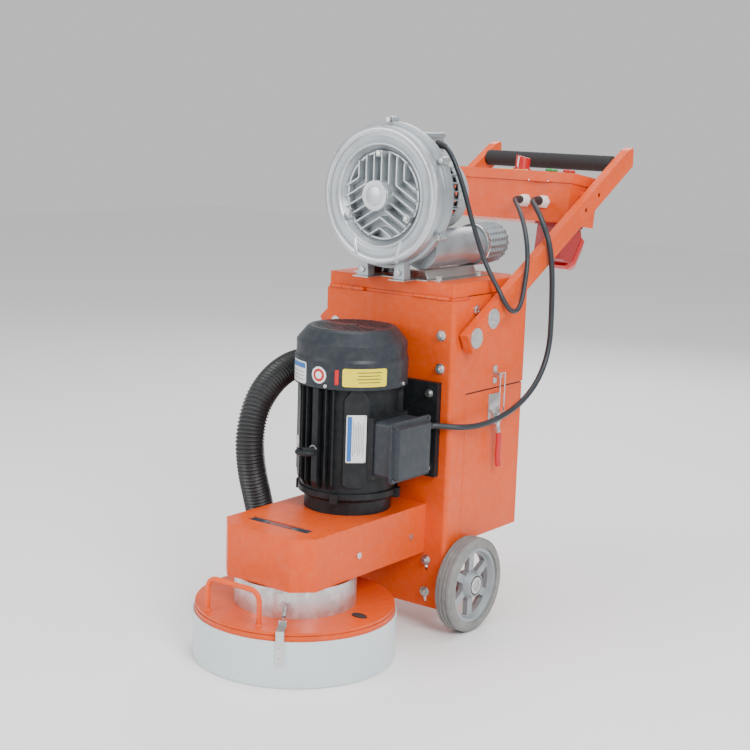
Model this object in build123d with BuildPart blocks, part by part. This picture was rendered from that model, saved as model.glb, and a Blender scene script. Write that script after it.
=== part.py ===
"""Walk-behind concrete floor grinder with an on-board dust extractor.

Millimetres, +Z up, +Y towards the operator. The origin is on the floor, under the centre of the
machine. The grinding head is at -Y, the wheels and the dust tank are behind it, and the side-channel
blower stands on the tank's lid.
"""

import os
from math import cos, pi, radians, sin, tan

from build123d import *

os.makedirs("parts", exist_ok=True)


def save(piece, name):
    """Labels a finished piece and writes it as one STEP file."""
    piece.part.label = name
    export_step(piece.part, f"parts/{name}.step")


# ---------------------------------------------------------------- driving dimensions
overall_length = 1163.0
skirt_radius = 203.0
skirt_gap = 1.0  # between the splash skirt and the floor
skirt_top = 92.0
cover_radius = 199.4
cover_top = 108.5
disc_radius = 172.0
neck_radius = 121.6

box_half_width = 115.0
box_front = 115.0  # ahead of the head axis
box_bottom = 167.0
box_top = 271.6
sheet = 3.0

motor_offset = 160.0  # motor axis behind the head axis
frame_radius = 98.0
fin_radius = 113.0
cowl_radius = 115.0
frame_bottom = 318.0
frame_top = 531.0
cowl_top = 644.0

plate_offset = 278.0  # chassis front face behind the head axis
chassis_half_width = 166.0
chassis_bottom = 50.0
chassis_top = 697.0
chassis_sheet = 4.0
flange_depth = 54.0

wheel_radius = 100.0
wheel_width = 40.0
wheel_outer = 209.0
axle_offset = 339.0
axle_radius = 12.0

tank_half_width = 165.0
tank_rear_offset = 556.0
bin_bottom = 184.0
bin_top = 500.0
housing_bottom = 503.0
housing_top = 704.0
lid_half_width = 160.0
lid_front_offset = 283.7
lid_bottom = 704.6
lid_top = 731.5

blower_z = 901.7
blower_radius = 149.0
blower_front = 231.3
port_x = 62.0
port_z = 794.0
port_radius = 39.0

bar_angle = 29.75
bar_inner = 171.0
bar_width = 20.0
bar_depth = 44.0
bar_wall = 2.5
grip_offset = 903.0
grip_z = 966.0
grip_radius = 18.5

panel_tilt = 8.0
panel_half_width = 155.0
panel_depth = 125.0
panel_height = 108.0

# ---------------------------------------------------------------- derived places
head_y = skirt_radius - overall_length / 2
rear_y = overall_length / 2
motor_y = head_y + motor_offset
plate_y = head_y + plate_offset
axle_y = head_y + axle_offset
tank_rear = head_y + tank_rear_offset
flange_rear = plate_y + flange_depth
bin_front = flange_rear + 1.5
lid_front = head_y + lid_front_offset
blower_y = head_y + blower_front

head_axis = Axis((0, head_y, 0), (0, 0, 1))
motor_axis = Axis((0, motor_y, 0), (0, 0, 1))
blower_axis = Axis((0, 0, blower_z), (0, 1, 0))


def upright(x, y, z=0.0):
    """A vertical plane through a point: its own x runs along +X and its own y runs up."""
    return Plane(origin=(x, y, z), x_dir=(1, 0, 0), z_dir=(0, -1, 0))


def radial(y, angle):
    """The vertical half plane through a vertical axis at y, turned from -Y towards +X by angle."""
    a = radians(angle)
    return Plane(origin=(0, y, 0), x_dir=(sin(a), -cos(a), 0), z_dir=(-cos(a), -sin(a), 0))


def level(z, x=0.0, y=0.0):
    """A horizontal plane at height z."""
    return Plane(origin=(x, y, z), x_dir=(1, 0, 0), z_dir=(0, 0, 1))


def side(x, y=0.0, z=0.0):
    """A plane facing +X: its own x runs along +Y and its own y runs up."""
    return Plane(origin=(x, y, z), x_dir=(0, 1, 0), z_dir=(1, 0, 0))


# half plane of the blower: its own x is the radius (along +X) and its own y runs along +Y
blower_section = Plane(origin=(0, 0, blower_z), x_dir=(1, 0, 0), z_dir=(0, 0, 1))


def routed(points):
    """Fillet radii for a cord's route: 0.45 of the shorter run over the tangent of half the turn."""
    spots = [Vector(*p) for p in points]
    radii = []
    for a, b, c in zip(spots, spots[1:], spots[2:]):
        turn = (b - a).get_angle(c - b)
        shorter = min((b - a).length, (c - b).length)
        radii.append(0.45 * shorter / tan(radians(turn / 2)))
    return radii


def tube_plane(points):
    """The plane across a route at its first point."""
    start = Vector(*points[0])
    return Plane(origin=start, z_dir=Vector(*points[1]) - start)


# ================================================================ grinding head
# ---- orange dust cover: a thick plate over a rolled rim, with the hose stub behind on the left
hose_stub = (-148.0, head_y + 72.0)
hose_stub_radius = 28.0
stub_top = 138.0

with BuildPart() as shroud_cover:
    with BuildSketch(upright(0, head_y)):
        with BuildLine():
            Polyline(
                (64, 103),
                (192, 103),
                (192, 60),
                (cover_radius, 60),
                (cover_radius, 101.5),
                (cover_radius - 2.4, 101.5),
                (cover_radius - 2.4, 103),
                (cover_radius - 1, 103),
                (cover_radius - 1, cover_top),
                (64, cover_top),
                close=True,
            )
        make_face()
    revolve(axis=head_axis)
    with BuildSketch(level(cover_top, *hose_stub)):
        Circle(hose_stub_radius)
    extrude(amount=stub_top - cover_top)
    with BuildSketch(level(stub_top, *hose_stub)):
        Circle(hose_stub_radius - 2)
    extrude(amount=-60, mode=Mode.SUBTRACT)
save(shroud_cover, "shroud_cover")

# ---- bent rod that the cover is lifted by
handle_half = 66.0
handle_height = 66.0
handle_rod = 5.0

with BuildPart() as lift_handle:
    with BuildLine(upright(-17, head_y - 165, cover_top)) as handle_path:
        FilletPolyline(
            (-handle_half, 0),
            (-handle_half, handle_height),
            (handle_half, handle_height),
            (handle_half, 0),
            radius=22,
        )
    with BuildSketch(level(cover_top, -17 - handle_half, head_y - 165)):
        Circle(handle_rod)
    sweep()
save(lift_handle, "lift_handle")

# ---- translucent splash skirt, which floats on the floor's unevenness
with BuildPart() as splash_skirt:
    with BuildSketch(level(skirt_gap, 0, head_y)):
        Circle(skirt_radius)
        Circle(skirt_radius - 2.8, mode=Mode.SUBTRACT)
    extrude(amount=skirt_top - skirt_gap)
save(splash_skirt, "splash_skirt")

# ---- two bent strips riveted to the skirt, each hooked to a spring
strip_angles = (32.0, 212.0)
strip_low = 44.0
strip_high = 113.0
strip_thickness = 2.0
strip_half_width = 8.0
tab_radius = 171.0

with BuildPart() as skirt_strips:
    for angle in strip_angles:
        with BuildSketch(radial(head_y, angle)):
            with BuildLine():
                Polyline(
                    (skirt_radius, strip_low),
                    (skirt_radius + strip_thickness, strip_low),
                    (skirt_radius + strip_thickness, strip_high),
                    (tab_radius + strip_thickness, strip_high),
                    (tab_radius + strip_thickness, strip_high + 10),
                    (tab_radius, strip_high + 10),
                    (tab_radius, strip_high - strip_thickness),
                    (skirt_radius, strip_high - strip_thickness),
                    close=True,
                )
            make_face()
        extrude(amount=strip_half_width, both=True)
        for rivet_z in (55.6, 76.0):
            at = radial(head_y, angle)
            head = at.from_local_coords(Vector(skirt_radius + strip_thickness, rivet_z, 0))
            with BuildSketch(Plane(origin=head, z_dir=at.x_dir)):
                Circle(4)
            extrude(amount=2.4)
save(skirt_strips, "skirt_strips")

# ---- springs from the strips to the neck
spring_low = strip_high + 6
spring_high = 141.0
stud_tip = 127.0

with BuildPart() as skirt_springs:
    for angle in strip_angles:
        at = radial(head_y, angle)
        low = at.from_local_coords(Vector(tab_radius - 4, spring_low + 2, 0))
        high = at.from_local_coords(Vector(stud_tip, spring_high, 0))
        with BuildSketch(Plane(origin=low, z_dir=high - low)):
            Circle(4.5)
        extrude(amount=(high - low).length - 4)
save(skirt_springs, "skirt_springs")

# ---- galvanised neck between the cover and the belt box, with the spindle housing in it
bearing_outer = 40.0
spindle_radius = 20.0
running_gap = 0.05

with BuildPart() as neck_tube:
    with BuildSketch(level(cover_top, 0, head_y)):
        Circle(neck_radius)
        Circle(neck_radius - 3, mode=Mode.SUBTRACT)
    extrude(amount=box_bottom - cover_top)
    for angle in strip_angles:
        at = radial(head_y, angle)
        foot = at.from_local_coords(Vector(neck_radius - 1.5, spring_high, 0))
        with BuildSketch(Plane(origin=foot, z_dir=at.x_dir)):
            Circle(3)
        extrude(amount=stud_tip - neck_radius + 1)
    # spindle housing on a web inside the neck
    with BuildSketch(upright(0, head_y)):
        with BuildLine():
            Polyline(
                (bearing_outer, 66),
                (49, 66),
                (49, 152),
                (neck_radius - 2, 152),
                (neck_radius - 2, 162),
                (49, 162),
                (49, 176),
                (bearing_outer, 176),
                close=True,
            )
        make_face()
    revolve(axis=head_axis)
save(neck_tube, "neck_tube")

with BuildPart() as spindle_bearings:
    for bearing_z in (68.0, 156.0):
        with BuildSketch(level(bearing_z, 0, head_y)):
            Circle(bearing_outer)
            Circle(spindle_radius + running_gap, mode=Mode.SUBTRACT)
        extrude(amount=18)
save(spindle_bearings, "spindle_bearings")

# ---- spindle with its bottom flange and its two-groove pulley
spindle_pulley_radius = 64.0
motor_pulley_radius = 48.0
pulley_low = 195.0
pulley_high = 235.0
groove_depth = 9.0


def pulley_outline(radius, bore):
    """Half section of a two-groove pulley, from its bore out."""
    rim = radius + groove_depth
    middle = (pulley_low + pulley_high) / 2
    return [
        (bore, pulley_low),
        (rim, pulley_low),
        (rim, pulley_low + 3),
        (radius, pulley_low + 6),
        (radius, middle - 4),
        (rim, middle - 1),
        (rim, middle + 1),
        (radius, middle + 4),
        (radius, pulley_high - 6),
        (rim, pulley_high - 3),
        (rim, pulley_high),
        (bore, pulley_high),
    ]


disc_top = 24.0

with BuildPart() as spindle_shaft:
    with BuildSketch(upright(0, head_y)):
        with BuildLine():
            Polyline((0, disc_top), (60, disc_top), (60, 38), (spindle_radius, 38), close=False)
            Polyline((spindle_radius, 38), (spindle_radius, 250), (0, 250), (0, disc_top))
        make_face()
    revolve(axis=head_axis)
    with BuildSketch(upright(0, head_y)):
        with BuildLine():
            Polyline(*pulley_outline(spindle_pulley_radius, spindle_radius - 1), close=True)
        make_face()
    revolve(axis=head_axis)
save(spindle_shaft, "spindle_shaft")

# ---- carrier disc with its diamond segments
segment_height = 11.0

with BuildPart() as grinding_disc:
    with BuildSketch(level(segment_height, 0, head_y)):
        Circle(disc_radius)
        with Locations((0, 0)):
            Circle(28, mode=Mode.SUBTRACT)
        with PolarLocations(100, 6):
            Circle(16, mode=Mode.SUBTRACT)
    extrude(amount=disc_top - segment_height)
save(grinding_disc, "grinding_disc")

with BuildPart() as diamond_segments:
    with BuildSketch(level(0, 0, head_y)):
        with PolarLocations(148, 12):
            Rectangle(15, 42)
    extrude(amount=segment_height)
save(diamond_segments, "diamond_segments")

# ================================================================ belt drive
box_chamfer = 35.0
slot_y = head_y - 51.0
slot_length = 150.0
slot_width = 24.0
box_mid_y = (head_y - box_front + plate_y) / 2
box_length = plate_y - head_y + box_front
motor_pilot = 82.0


def box_outline(inset):
    """Plan of the belt box, with its two front corners cut off."""
    w = box_half_width - inset
    front = head_y - box_front + inset
    rear = plate_y - inset
    cut = box_chamfer
    return [(-w, rear), (-w, front + cut), (-w + cut, front), (w - cut, front), (w, front + cut), (w, rear)]


with BuildPart() as belt_box:
    with BuildSketch(level(box_bottom)):
        with BuildLine():
            Polyline(*box_outline(0), close=True)
        make_face()
    extrude(amount=box_top - box_bottom)
    fillet(belt_box.faces().sort_by(Axis.Y)[0].edges().filter_by(Axis.Z), radius=8)
    with BuildSketch(level(box_bottom + sheet)):
        with BuildLine():
            Polyline(*box_outline(sheet), close=True)
        make_face()
    extrude(amount=box_top - box_bottom - 2 * sheet, mode=Mode.SUBTRACT)
    with BuildSketch(level(box_bottom, 0, head_y)):
        Circle(50)
    extrude(amount=sheet, mode=Mode.SUBTRACT)
    with BuildSketch(level(box_top - sheet, 0, motor_y)):
        Circle(motor_pilot)
    extrude(amount=sheet, mode=Mode.SUBTRACT)
    with BuildSketch(level(box_top - sheet, 0, slot_y)):
        Rectangle(slot_length, slot_width)
    extrude(amount=sheet, mode=Mode.SUBTRACT)
save(belt_box, "belt_box")

# ---- two V-belts round both pulleys, each a straight-sided loop with round ends
belt_clearance = 0.6
belt_thickness = 8.0
belt_height = 9.6

with BuildPart() as drive_belts:
    for belt_z in (pulley_low + 6.2, (pulley_low + pulley_high) / 2 + 4.2):
        with BuildSketch(level(belt_z)):
            with Locations((0, head_y)):
                Circle(spindle_pulley_radius + belt_clearance + belt_thickness)
            with Locations((0, motor_y)):
                Circle(motor_pulley_radius + belt_clearance + belt_thickness)
            make_hull()
        extrude(amount=belt_height)
    with BuildSketch(level(pulley_low)):
        with Locations((0, head_y)):
            Circle(spindle_pulley_radius + belt_clearance)
        with Locations((0, motor_y)):
            Circle(motor_pulley_radius + belt_clearance)
        make_hull()
    extrude(amount=pulley_high - pulley_low, mode=Mode.SUBTRACT)
save(drive_belts, "drive_belts")

# ================================================================ electric motor
# ---- end shield: neck on the belt box, ring and four lugs under the frame
neck_outer = 89.3

with BuildPart() as motor_flange:
    with BuildSketch(upright(0, motor_y)):
        with BuildLine():
            Polyline(
                (26, 300),
                (26, 285),
                (motor_pilot - 6, 285),
                (motor_pilot - 6, box_top - 5),
                (motor_pilot - 0.2, box_top - 5),
                (motor_pilot - 0.2, box_top),
                (neck_outer, box_top),
                (neck_outer, 298),
                (102, 306),
                (102, frame_bottom),
                (60, frame_bottom),
                (60, 300),
                close=True,
            )
        make_face()
    revolve(axis=motor_axis)
    with BuildSketch(level(298, 0, motor_y)):
        with PolarLocations(99, 4, start_angle=22.5):
            Rectangle(20, 16)
    extrude(amount=frame_bottom - 298)
save(motor_flange, "motor_flange")

# ---- finned frame with flats on its diagonals, at the terminal box and at the foot
fin_count = 44
fin_half = 1.5
fin_low = 326.0
fin_high = 529.0
pad_angles = (45.0, 135.0, 225.0, 315.0)
pad_radius = 104.0
pad_width = 50.0
boss_radius = 104.0
boss_half = 58.0


def finned(angle):
    """True where a fin stands: not on a flat, at the terminal box, at the foot or at the eye bolt."""
    gaps = [(a, 17.0) for a in pad_angles] + [(90.0, 36.0), (180.0, 36.0), (0.0, 5.0)]
    return all(abs((angle - middle + 180) % 360 - 180) > half for middle, half in gaps)


with BuildPart() as motor_frame:
    with BuildSketch(level(frame_bottom, 0, motor_y)):
        Circle(frame_radius)
        Circle(78, mode=Mode.SUBTRACT)
    extrude(amount=frame_top - frame_bottom)
    for fin in range(fin_count):
        angle = 360 * fin / fin_count + 180 / fin_count
        if not finned(angle):
            continue
        with BuildSketch(radial(motor_y, angle)):
            with BuildLine():
                Polyline(
                    (frame_radius - 2, fin_low),
                    (frame_radius + 6, fin_low),
                    (fin_radius, fin_low + 14),
                    (fin_radius, fin_high),
                    (frame_radius - 2, fin_high),
                    close=True,
                )
            make_face()
        extrude(amount=fin_half, both=True)
    for angle in pad_angles:
        at = radial(motor_y, angle)
        middle = at.from_local_coords(Vector(frame_radius - 8, 430, 0))
        with BuildSketch(Plane(origin=middle, x_dir=at.z_dir, z_dir=at.x_dir)):
            with BuildLine():
                Polyline(
                    (-pad_width / 2, -80),
                    (-8, -104),
                    (8, -104),
                    (pad_width / 2, -80),
                    (pad_width / 2, 90),
                    (14, 98),
                    (-14, 98),
                    (-pad_width / 2, 90),
                    close=True,
                )
            make_face()
        extrude(amount=pad_radius - frame_radius + 8)
    with BuildSketch(radial(motor_y, 0)):
        with BuildLine():
            Polyline(
                (frame_radius - 4, fin_low),
                (fin_radius - 6, fin_low),
                (fin_radius, fin_low + 14),
                (fin_radius, fin_high),
                (frame_radius - 4, fin_high),
                close=True,
            )
        make_face()
    extrude(amount=7, both=True)
    with BuildSketch(side(80, motor_y, 413)):
        Rectangle(2 * boss_half, 124)
    extrude(amount=boss_radius - 80)
    with BuildSketch(Plane(origin=(0, motor_y + 80, 432), x_dir=(1, 0, 0), z_dir=(0, 1, 0))):
        Rectangle(2 * boss_half, 180)
    extrude(amount=boss_radius - 80)
    with BuildSketch(level(frame_bottom, 0, motor_y)):
        Circle(78)
    extrude(amount=frame_top - frame_bottom, mode=Mode.SUBTRACT)
save(motor_frame, "motor_frame")

# ---- pressed fan cowl with its slotted top
cowl_low = 530.6
cowl_sheet = 2.0
bead_z = 590.0
cone_z = 616.0
grille_radius = 89.0


def cowl_wall(inset):
    """Outline of the fan cowl from its open foot to its flat top, inset by the sheet's thickness."""
    r = cowl_radius - inset
    return [
        (r, cowl_low),
        (r, bead_z - 6),
        (r - 3, bead_z),
        (r - 3, cone_z),
        (grille_radius + 4 - inset, cowl_top - 4 - inset),
        (grille_radius - 2, cowl_top - inset),
    ]


with BuildPart() as motor_fan_cowl:
    with BuildSketch(upright(0, motor_y)):
        with BuildLine():
            Polyline(
                *cowl_wall(0),
                (0, cowl_top),
                (0, cowl_top - cowl_sheet),
                *reversed(cowl_wall(cowl_sheet)),
                close=True,
            )
        make_face()
    revolve(axis=motor_axis)
    with BuildSketch(level(cowl_top - 8, 0, motor_y)):
        for row in (-1, 1):
            for column in range(-6, 7):
                reach = (78**2 - (column * 11) ** 2) ** 0.5
                if reach > 30:
                    with Locations((column * 11, row * (12 + reach) / 2)):
                        Rectangle(5, reach - 12)
    extrude(amount=12, mode=Mode.SUBTRACT)
save(motor_fan_cowl, "motor_fan_cowl")

# ---- shaft, laminated core, motor pulley and cooling fan turn as one
with BuildPart() as motor_rotor:
    with BuildSketch(upright(0, motor_y)):
        with BuildLine():
            Polyline(
                (0, 188),
                (14, 188),
                (14, 345),
                (76, 345),
                (76, 505),
                (14, 505),
                (14, 562),
                (40, 562),
                (88, 566),
                (88, 569),
                (14, 575),
                (14, 606),
                (0, 606),
                close=True,
            )
        make_face()
    revolve(axis=motor_axis)
    with BuildSketch(upright(0, motor_y)):
        with BuildLine():
            Polyline(*pulley_outline(motor_pulley_radius, 13), close=True)
        make_face()
    revolve(axis=motor_axis)
    for blade in range(8):
        with BuildSketch(radial(motor_y, 45 * blade)):
            with Locations((56, 584)):
                Rectangle(64, 34)
        extrude(amount=1.5, both=True)
save(motor_rotor, "motor_rotor")

# ---- terminal box and its bevelled cover
terminal_z = 413.0
cover_low_x = 150.0
cover_high_x = 165.0

with BuildPart() as motor_terminal_box:
    with BuildSketch(side(boss_radius, motor_y, terminal_z)):
        RectangleRounded(108, 112, 8)
    extrude(amount=cover_low_x - boss_radius)
    with BuildSketch(side(boss_radius + 4, motor_y, terminal_z)):
        RectangleRounded(100, 104, 5)
    extrude(amount=cover_low_x - boss_radius - 4, mode=Mode.SUBTRACT)
    with BuildSketch(Plane(origin=(136, motor_y + 54, terminal_z + 32), x_dir=(1, 0, 0), z_dir=(0, 1, 0))):
        RegularPolygon(13, 6)
    extrude(amount=12)
    with BuildSketch(side(cover_low_x, motor_y, terminal_z)):
        RectangleRounded(130, 122, 6)
    extrude(amount=4)
    with BuildSketch(side(cover_low_x + 4, motor_y, terminal_z - 2)):
        RectangleRounded(112, 108, 5)
    extrude(amount=cover_high_x - cover_low_x - 4, taper=20)
    with BuildSketch(side(cover_low_x + 4, motor_y, terminal_z)):
        with GridLocations(118, 110, 2, 2):
            Circle(4)
    extrude(amount=2.5)
save(motor_terminal_box, "motor_terminal_box")

# ---- thick foot plate that bolts the motor to the chassis, cut away round the hose stub
mount_thickness = plate_y - motor_y - boss_radius
mount_bolts = [(-122.0, 352.0), (122.0, 352.0), (-122.0, 474.0), (122.0, 507.0)]

with BuildPart() as motor_mount:
    with BuildSketch(upright(0, plate_y)):
        with BuildLine():
            Polyline((-142, 334), (142, 334), (142, 530), (-92, 530), (-142, 490), close=True)
        make_face()
    extrude(amount=mount_thickness)
save(motor_mount, "motor_mount")

# ================================================================ chassis and wheels
hose_inlet = (-130.0, 545.0)
hose_stub_length = 16.0
collar_radius = 19.0
slot_bolts = [(x, z) for x in (-121.0, 121.0) for z in (83.0, 151.0)]

with BuildPart() as chassis:
    with BuildSketch(level(chassis_bottom)):
        with Locations((0, plate_y + flange_depth / 2)):
            Rectangle(2 * chassis_half_width, flange_depth)
    extrude(amount=chassis_top - chassis_bottom)
    fillet(chassis.faces().sort_by(Axis.Y)[0].edges().filter_by(Axis.Z), radius=9)
    with BuildSketch(level(chassis_bottom)):
        with Locations((0, plate_y + chassis_sheet + flange_depth / 2)):
            Rectangle(2 * (chassis_half_width - chassis_sheet), flange_depth)
    extrude(amount=chassis_top - chassis_bottom, mode=Mode.SUBTRACT)
    with BuildSketch(upright(hose_inlet[0], plate_y + chassis_sheet, hose_inlet[1])):
        Circle(hose_stub_radius)
    extrude(amount=chassis_sheet + hose_stub_length)
    with BuildSketch(upright(hose_inlet[0], plate_y + chassis_sheet, hose_inlet[1])):
        Circle(hose_stub_radius - 2)
    extrude(amount=chassis_sheet + hose_stub_length, mode=Mode.SUBTRACT)
    with BuildSketch(upright(0, plate_y, 0)):
        for x, z in slot_bolts:
            with Locations((x, z - 6)):
                SlotOverall(34, 9, rotation=90)
    extrude(amount=-chassis_sheet, mode=Mode.SUBTRACT)
    with BuildSketch(side(-chassis_half_width, axle_y, wheel_radius)):
        Circle(collar_radius + 1)
    extrude(amount=2 * chassis_half_width, mode=Mode.SUBTRACT)
    for x in (-146.0, 140.0):
        with BuildSketch(side(x)):
            with BuildLine():
                Polyline(
                    (plate_y + chassis_sheet - 0.5, 56),
                    (axle_y + 20, 74),
                    (axle_y + 20, 126),
                    (plate_y + chassis_sheet - 0.5, 176),
                    close=True,
                )
            make_face()
            with Locations((axle_y, wheel_radius)):
                Circle(axle_radius + running_gap, mode=Mode.SUBTRACT)
        extrude(amount=6)
save(chassis, "chassis")

hub_inner = wheel_outer - wheel_width

with BuildPart() as axle:
    with BuildSketch(side(-wheel_outer + 1, axle_y, wheel_radius)):
        Circle(axle_radius)
    extrude(amount=2 * wheel_outer - 2)
    for collar_x in (-hub_inner + 0.6, 146.3):
        with BuildSketch(side(collar_x, axle_y, wheel_radius)):
            Circle(collar_radius)
        extrude(amount=hub_inner - 0.9 - 146)
save(axle, "axle")

tyre_inner = 80.0
hub_bore = axle_radius + running_gap
tread = [(-wheel_width / 2, tyre_inner), (-wheel_width / 2, wheel_radius - 6), (-wheel_width / 2 + 4, wheel_radius - 1)]
for groove in (-9.0, 0.0, 9.0):
    tread += [(groove - 1.6, wheel_radius), (groove - 0.9, wheel_radius - 2.2)]
    tread += [(groove + 0.9, wheel_radius - 2.2), (groove + 1.6, wheel_radius)]
tread += [(wheel_width / 2 - 4, wheel_radius - 1), (wheel_width / 2, wheel_radius - 6), (wheel_width / 2, tyre_inner)]


def wheel(sign, name):
    """One wheel: a solid rubber tyre on a six-spoked cast hub. sign is -1 on the left."""
    centre_x = sign * (wheel_outer - wheel_width / 2)
    # its own x runs along +X, its own y is the radius
    section = Plane(origin=(centre_x, axle_y, wheel_radius), x_dir=(1, 0, 0), z_dir=(0, -1, 0))
    axis = Axis((centre_x, axle_y, wheel_radius), (1, 0, 0))
    with BuildPart() as tyre:
        with BuildSketch(section):
            with BuildLine():
                Polyline(*tread, close=True)
            make_face()
        revolve(axis=axis)
    save(tyre, f"tyre_{name}")
    with BuildPart() as hub:
        with BuildSketch(section):
            with BuildLine():
                Polyline(
                    (-16, tyre_inner),
                    (-16, 72),
                    (-6, 68),
                    (-6, 66),
                    (6, 66),
                    (6, 68),
                    (16, 72),
                    (16, tyre_inner),
                    close=True,
                )
            make_face()
            with BuildLine():
                Polyline((-19.5, hub_bore), (-19.5, 24), (-6, 30), (6, 30), (19.5, 24), (19.5, hub_bore), close=True)
            make_face()
        revolve(axis=axis)
        with BuildSketch(side(centre_x - 6, axle_y, wheel_radius)):
            with PolarLocations(48, 6, start_angle=90):
                Rectangle(40, 17)
        extrude(amount=12)
    save(hub, f"wheel_hub_{name}")


wheel(-1, "left")
wheel(1, "right")

# ================================================================ dust tank
tank_sheet = 2.0
shelf_z = 640.0
filter_y = head_y + 445.0
filter_radius = 65.0


def tank_outline(inset):
    """Plan of the filter housing: narrow between the chassis flanges, full width behind them."""
    narrow = chassis_half_width - chassis_sheet - 1.0 - inset
    wide = tank_half_width - inset
    front = plate_y + chassis_sheet + 1.6 + inset
    step = flange_rear + 1.0 + inset
    rear = tank_rear - inset
    return [
        (-narrow, front),
        (narrow, front),
        (narrow, step),
        (wide, step),
        (wide, rear),
        (-wide, rear),
        (-wide, step),
        (-narrow, step),
    ]


with BuildPart() as filter_housing:
    with BuildSketch(level(housing_bottom)):
        with BuildLine():
            Polyline(*tank_outline(0), close=True)
        make_face()
        with BuildLine():
            Polyline(*tank_outline(tank_sheet), close=True)
        make_face(mode=Mode.SUBTRACT)
    extrude(amount=housing_top - housing_bottom)
    with BuildSketch(level(shelf_z)):
        with BuildLine():
            Polyline(*tank_outline(1), close=True)
        make_face()
        with Locations((0, filter_y)):
            Circle(filter_radius + 1.5, mode=Mode.SUBTRACT)
    extrude(amount=3)
    with BuildSketch(level(housing_bottom)):
        with Locations((0, (plate_y + chassis_sheet + bin_front) / 2 + 1.5)):
            Rectangle(2 * (chassis_half_width - chassis_sheet - 2), bin_front - plate_y - chassis_sheet)
    extrude(amount=3)
    with BuildSketch(upright(hose_inlet[0], plate_y + chassis_sheet + 6, hose_inlet[1])):
        Circle(hose_stub_radius - 2)
    extrude(amount=6, mode=Mode.SUBTRACT)
save(filter_housing, "filter_housing")

# ---- pleated cartridge hung from the housing's shelf
with BuildPart() as filter_cartridge:
    with BuildSketch(level(shelf_z + 3, 0, filter_y)):
        Circle(filter_radius + 12)
        Circle(34, mode=Mode.SUBTRACT)
    extrude(amount=8)
    with BuildSketch(level(522, 0, filter_y)):
        Circle(filter_radius)
        Circle(34, mode=Mode.SUBTRACT)
    extrude(amount=shelf_z + 3 - 522)
    with BuildSketch(level(517, 0, filter_y)):
        Circle(filter_radius)
    extrude(amount=5)
save(filter_cartridge, "filter_cartridge")

bin_mid = (bin_front + tank_rear) / 2
bin_length = tank_rear - bin_front

with BuildPart() as dust_bin:
    with BuildSketch(level(bin_bottom, 0, bin_mid)):
        Rectangle(2 * tank_half_width, bin_length)
    extrude(amount=bin_top - bin_bottom)
    fillet(dust_bin.edges().filter_by(Axis.Z), radius=4)
    fillet(dust_bin.faces().sort_by(Axis.Z)[0].edges(), radius=3)
    with BuildSketch(level(bin_bottom + tank_sheet, 0, bin_mid)):
        Rectangle(2 * (tank_half_width - tank_sheet), bin_length - 2 * tank_sheet)
    extrude(amount=bin_top - bin_bottom, mode=Mode.SUBTRACT)
    with BuildSketch(level(260, 0, tank_rear)):
        with BuildLine():
            Polyline((-50, -0.5), (-50, 16), (50, 16), (50, -0.5), close=True)
        make_face()
        with BuildLine():
            Polyline((-42, -0.6), (-42, 9), (42, 9), (42, -0.6), close=True)
        make_face(mode=Mode.SUBTRACT)
    extrude(amount=14)
save(dust_bin, "dust_bin")

# ---- sheet lid with its suction port
lid_sheet = 3.0
lid_mid = (lid_front + tank_rear) / 2
lid_length = tank_rear - lid_front
suction_port = (-port_x, head_y + 391.0)
suction_bore = 32.0

with BuildPart() as tank_lid:
    with BuildSketch(level(lid_bottom, 0, lid_mid)):
        Rectangle(2 * lid_half_width, lid_length)
    extrude(amount=lid_top - lid_bottom)
    fillet(tank_lid.edges().filter_by(Axis.Z), radius=3)
    with BuildSketch(level(lid_bottom, 0, lid_mid)):
        Rectangle(2 * (lid_half_width - lid_sheet), lid_length - 2 * lid_sheet)
    extrude(amount=lid_top - lid_bottom - lid_sheet, mode=Mode.SUBTRACT)
    with BuildSketch(level(lid_top, *suction_port)):
        Circle(suction_bore)
    extrude(amount=-2 * lid_sheet, mode=Mode.SUBTRACT)
save(tank_lid, "tank_lid")

hinge_y = head_y + 279.0
hinge_z = 701.3
knuckle_radius = 4.3

with BuildPart() as lid_hinges:
    for hinge_x in (-108.0, 108.0):
        for start in (-42.0, -13.5, 15.0):
            with BuildSketch(side(hinge_x + start, hinge_y, hinge_z)):
                Circle(knuckle_radius)
            extrude(amount=27)
        with BuildSketch(side(hinge_x - 44, hinge_y, hinge_z)):
            Circle(2)
        extrude(amount=88)
save(lid_hinges, "lid_hinges")

# ---- toggle latches, one on each side of the tank
latch_y = head_y + 440.0
lever_pivot = (172.0, 440.0)
loop_pivot = (178.0, 428.0)
loop_top = 533.0
wire = 1.6
loop_half = 9.0
loop_outside = 186.5


def latch_section(sign, y=0.0):
    """A plane facing -Y at a latch: its own x runs outward from the machine, its own y runs up."""
    return Plane(origin=(0, latch_y + y, 0), x_dir=(sign, 0, 0), z_dir=(0, -sign, 0))


with BuildPart() as latch_hooks:
    for sign in (-1, 1):
        with BuildSketch(latch_section(sign)):
            with BuildLine():
                Polyline(
                    (tank_half_width + 0.1, 512),
                    (167.5, 512),
                    (167.5, 525),
                    (182, 525),
                    (182, 531.8),
                    (180.2, 531.8),
                    (180.2, 531),
                    (175.8, 531),
                    (175.8, 536),
                    (167.5, 536),
                    (167.5, 550),
                    (tank_half_width + 0.1, 550),
                    close=True,
                )
            make_face()
        extrude(amount=6.5, both=True)
save(latch_hooks, "latch_hooks")

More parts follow.
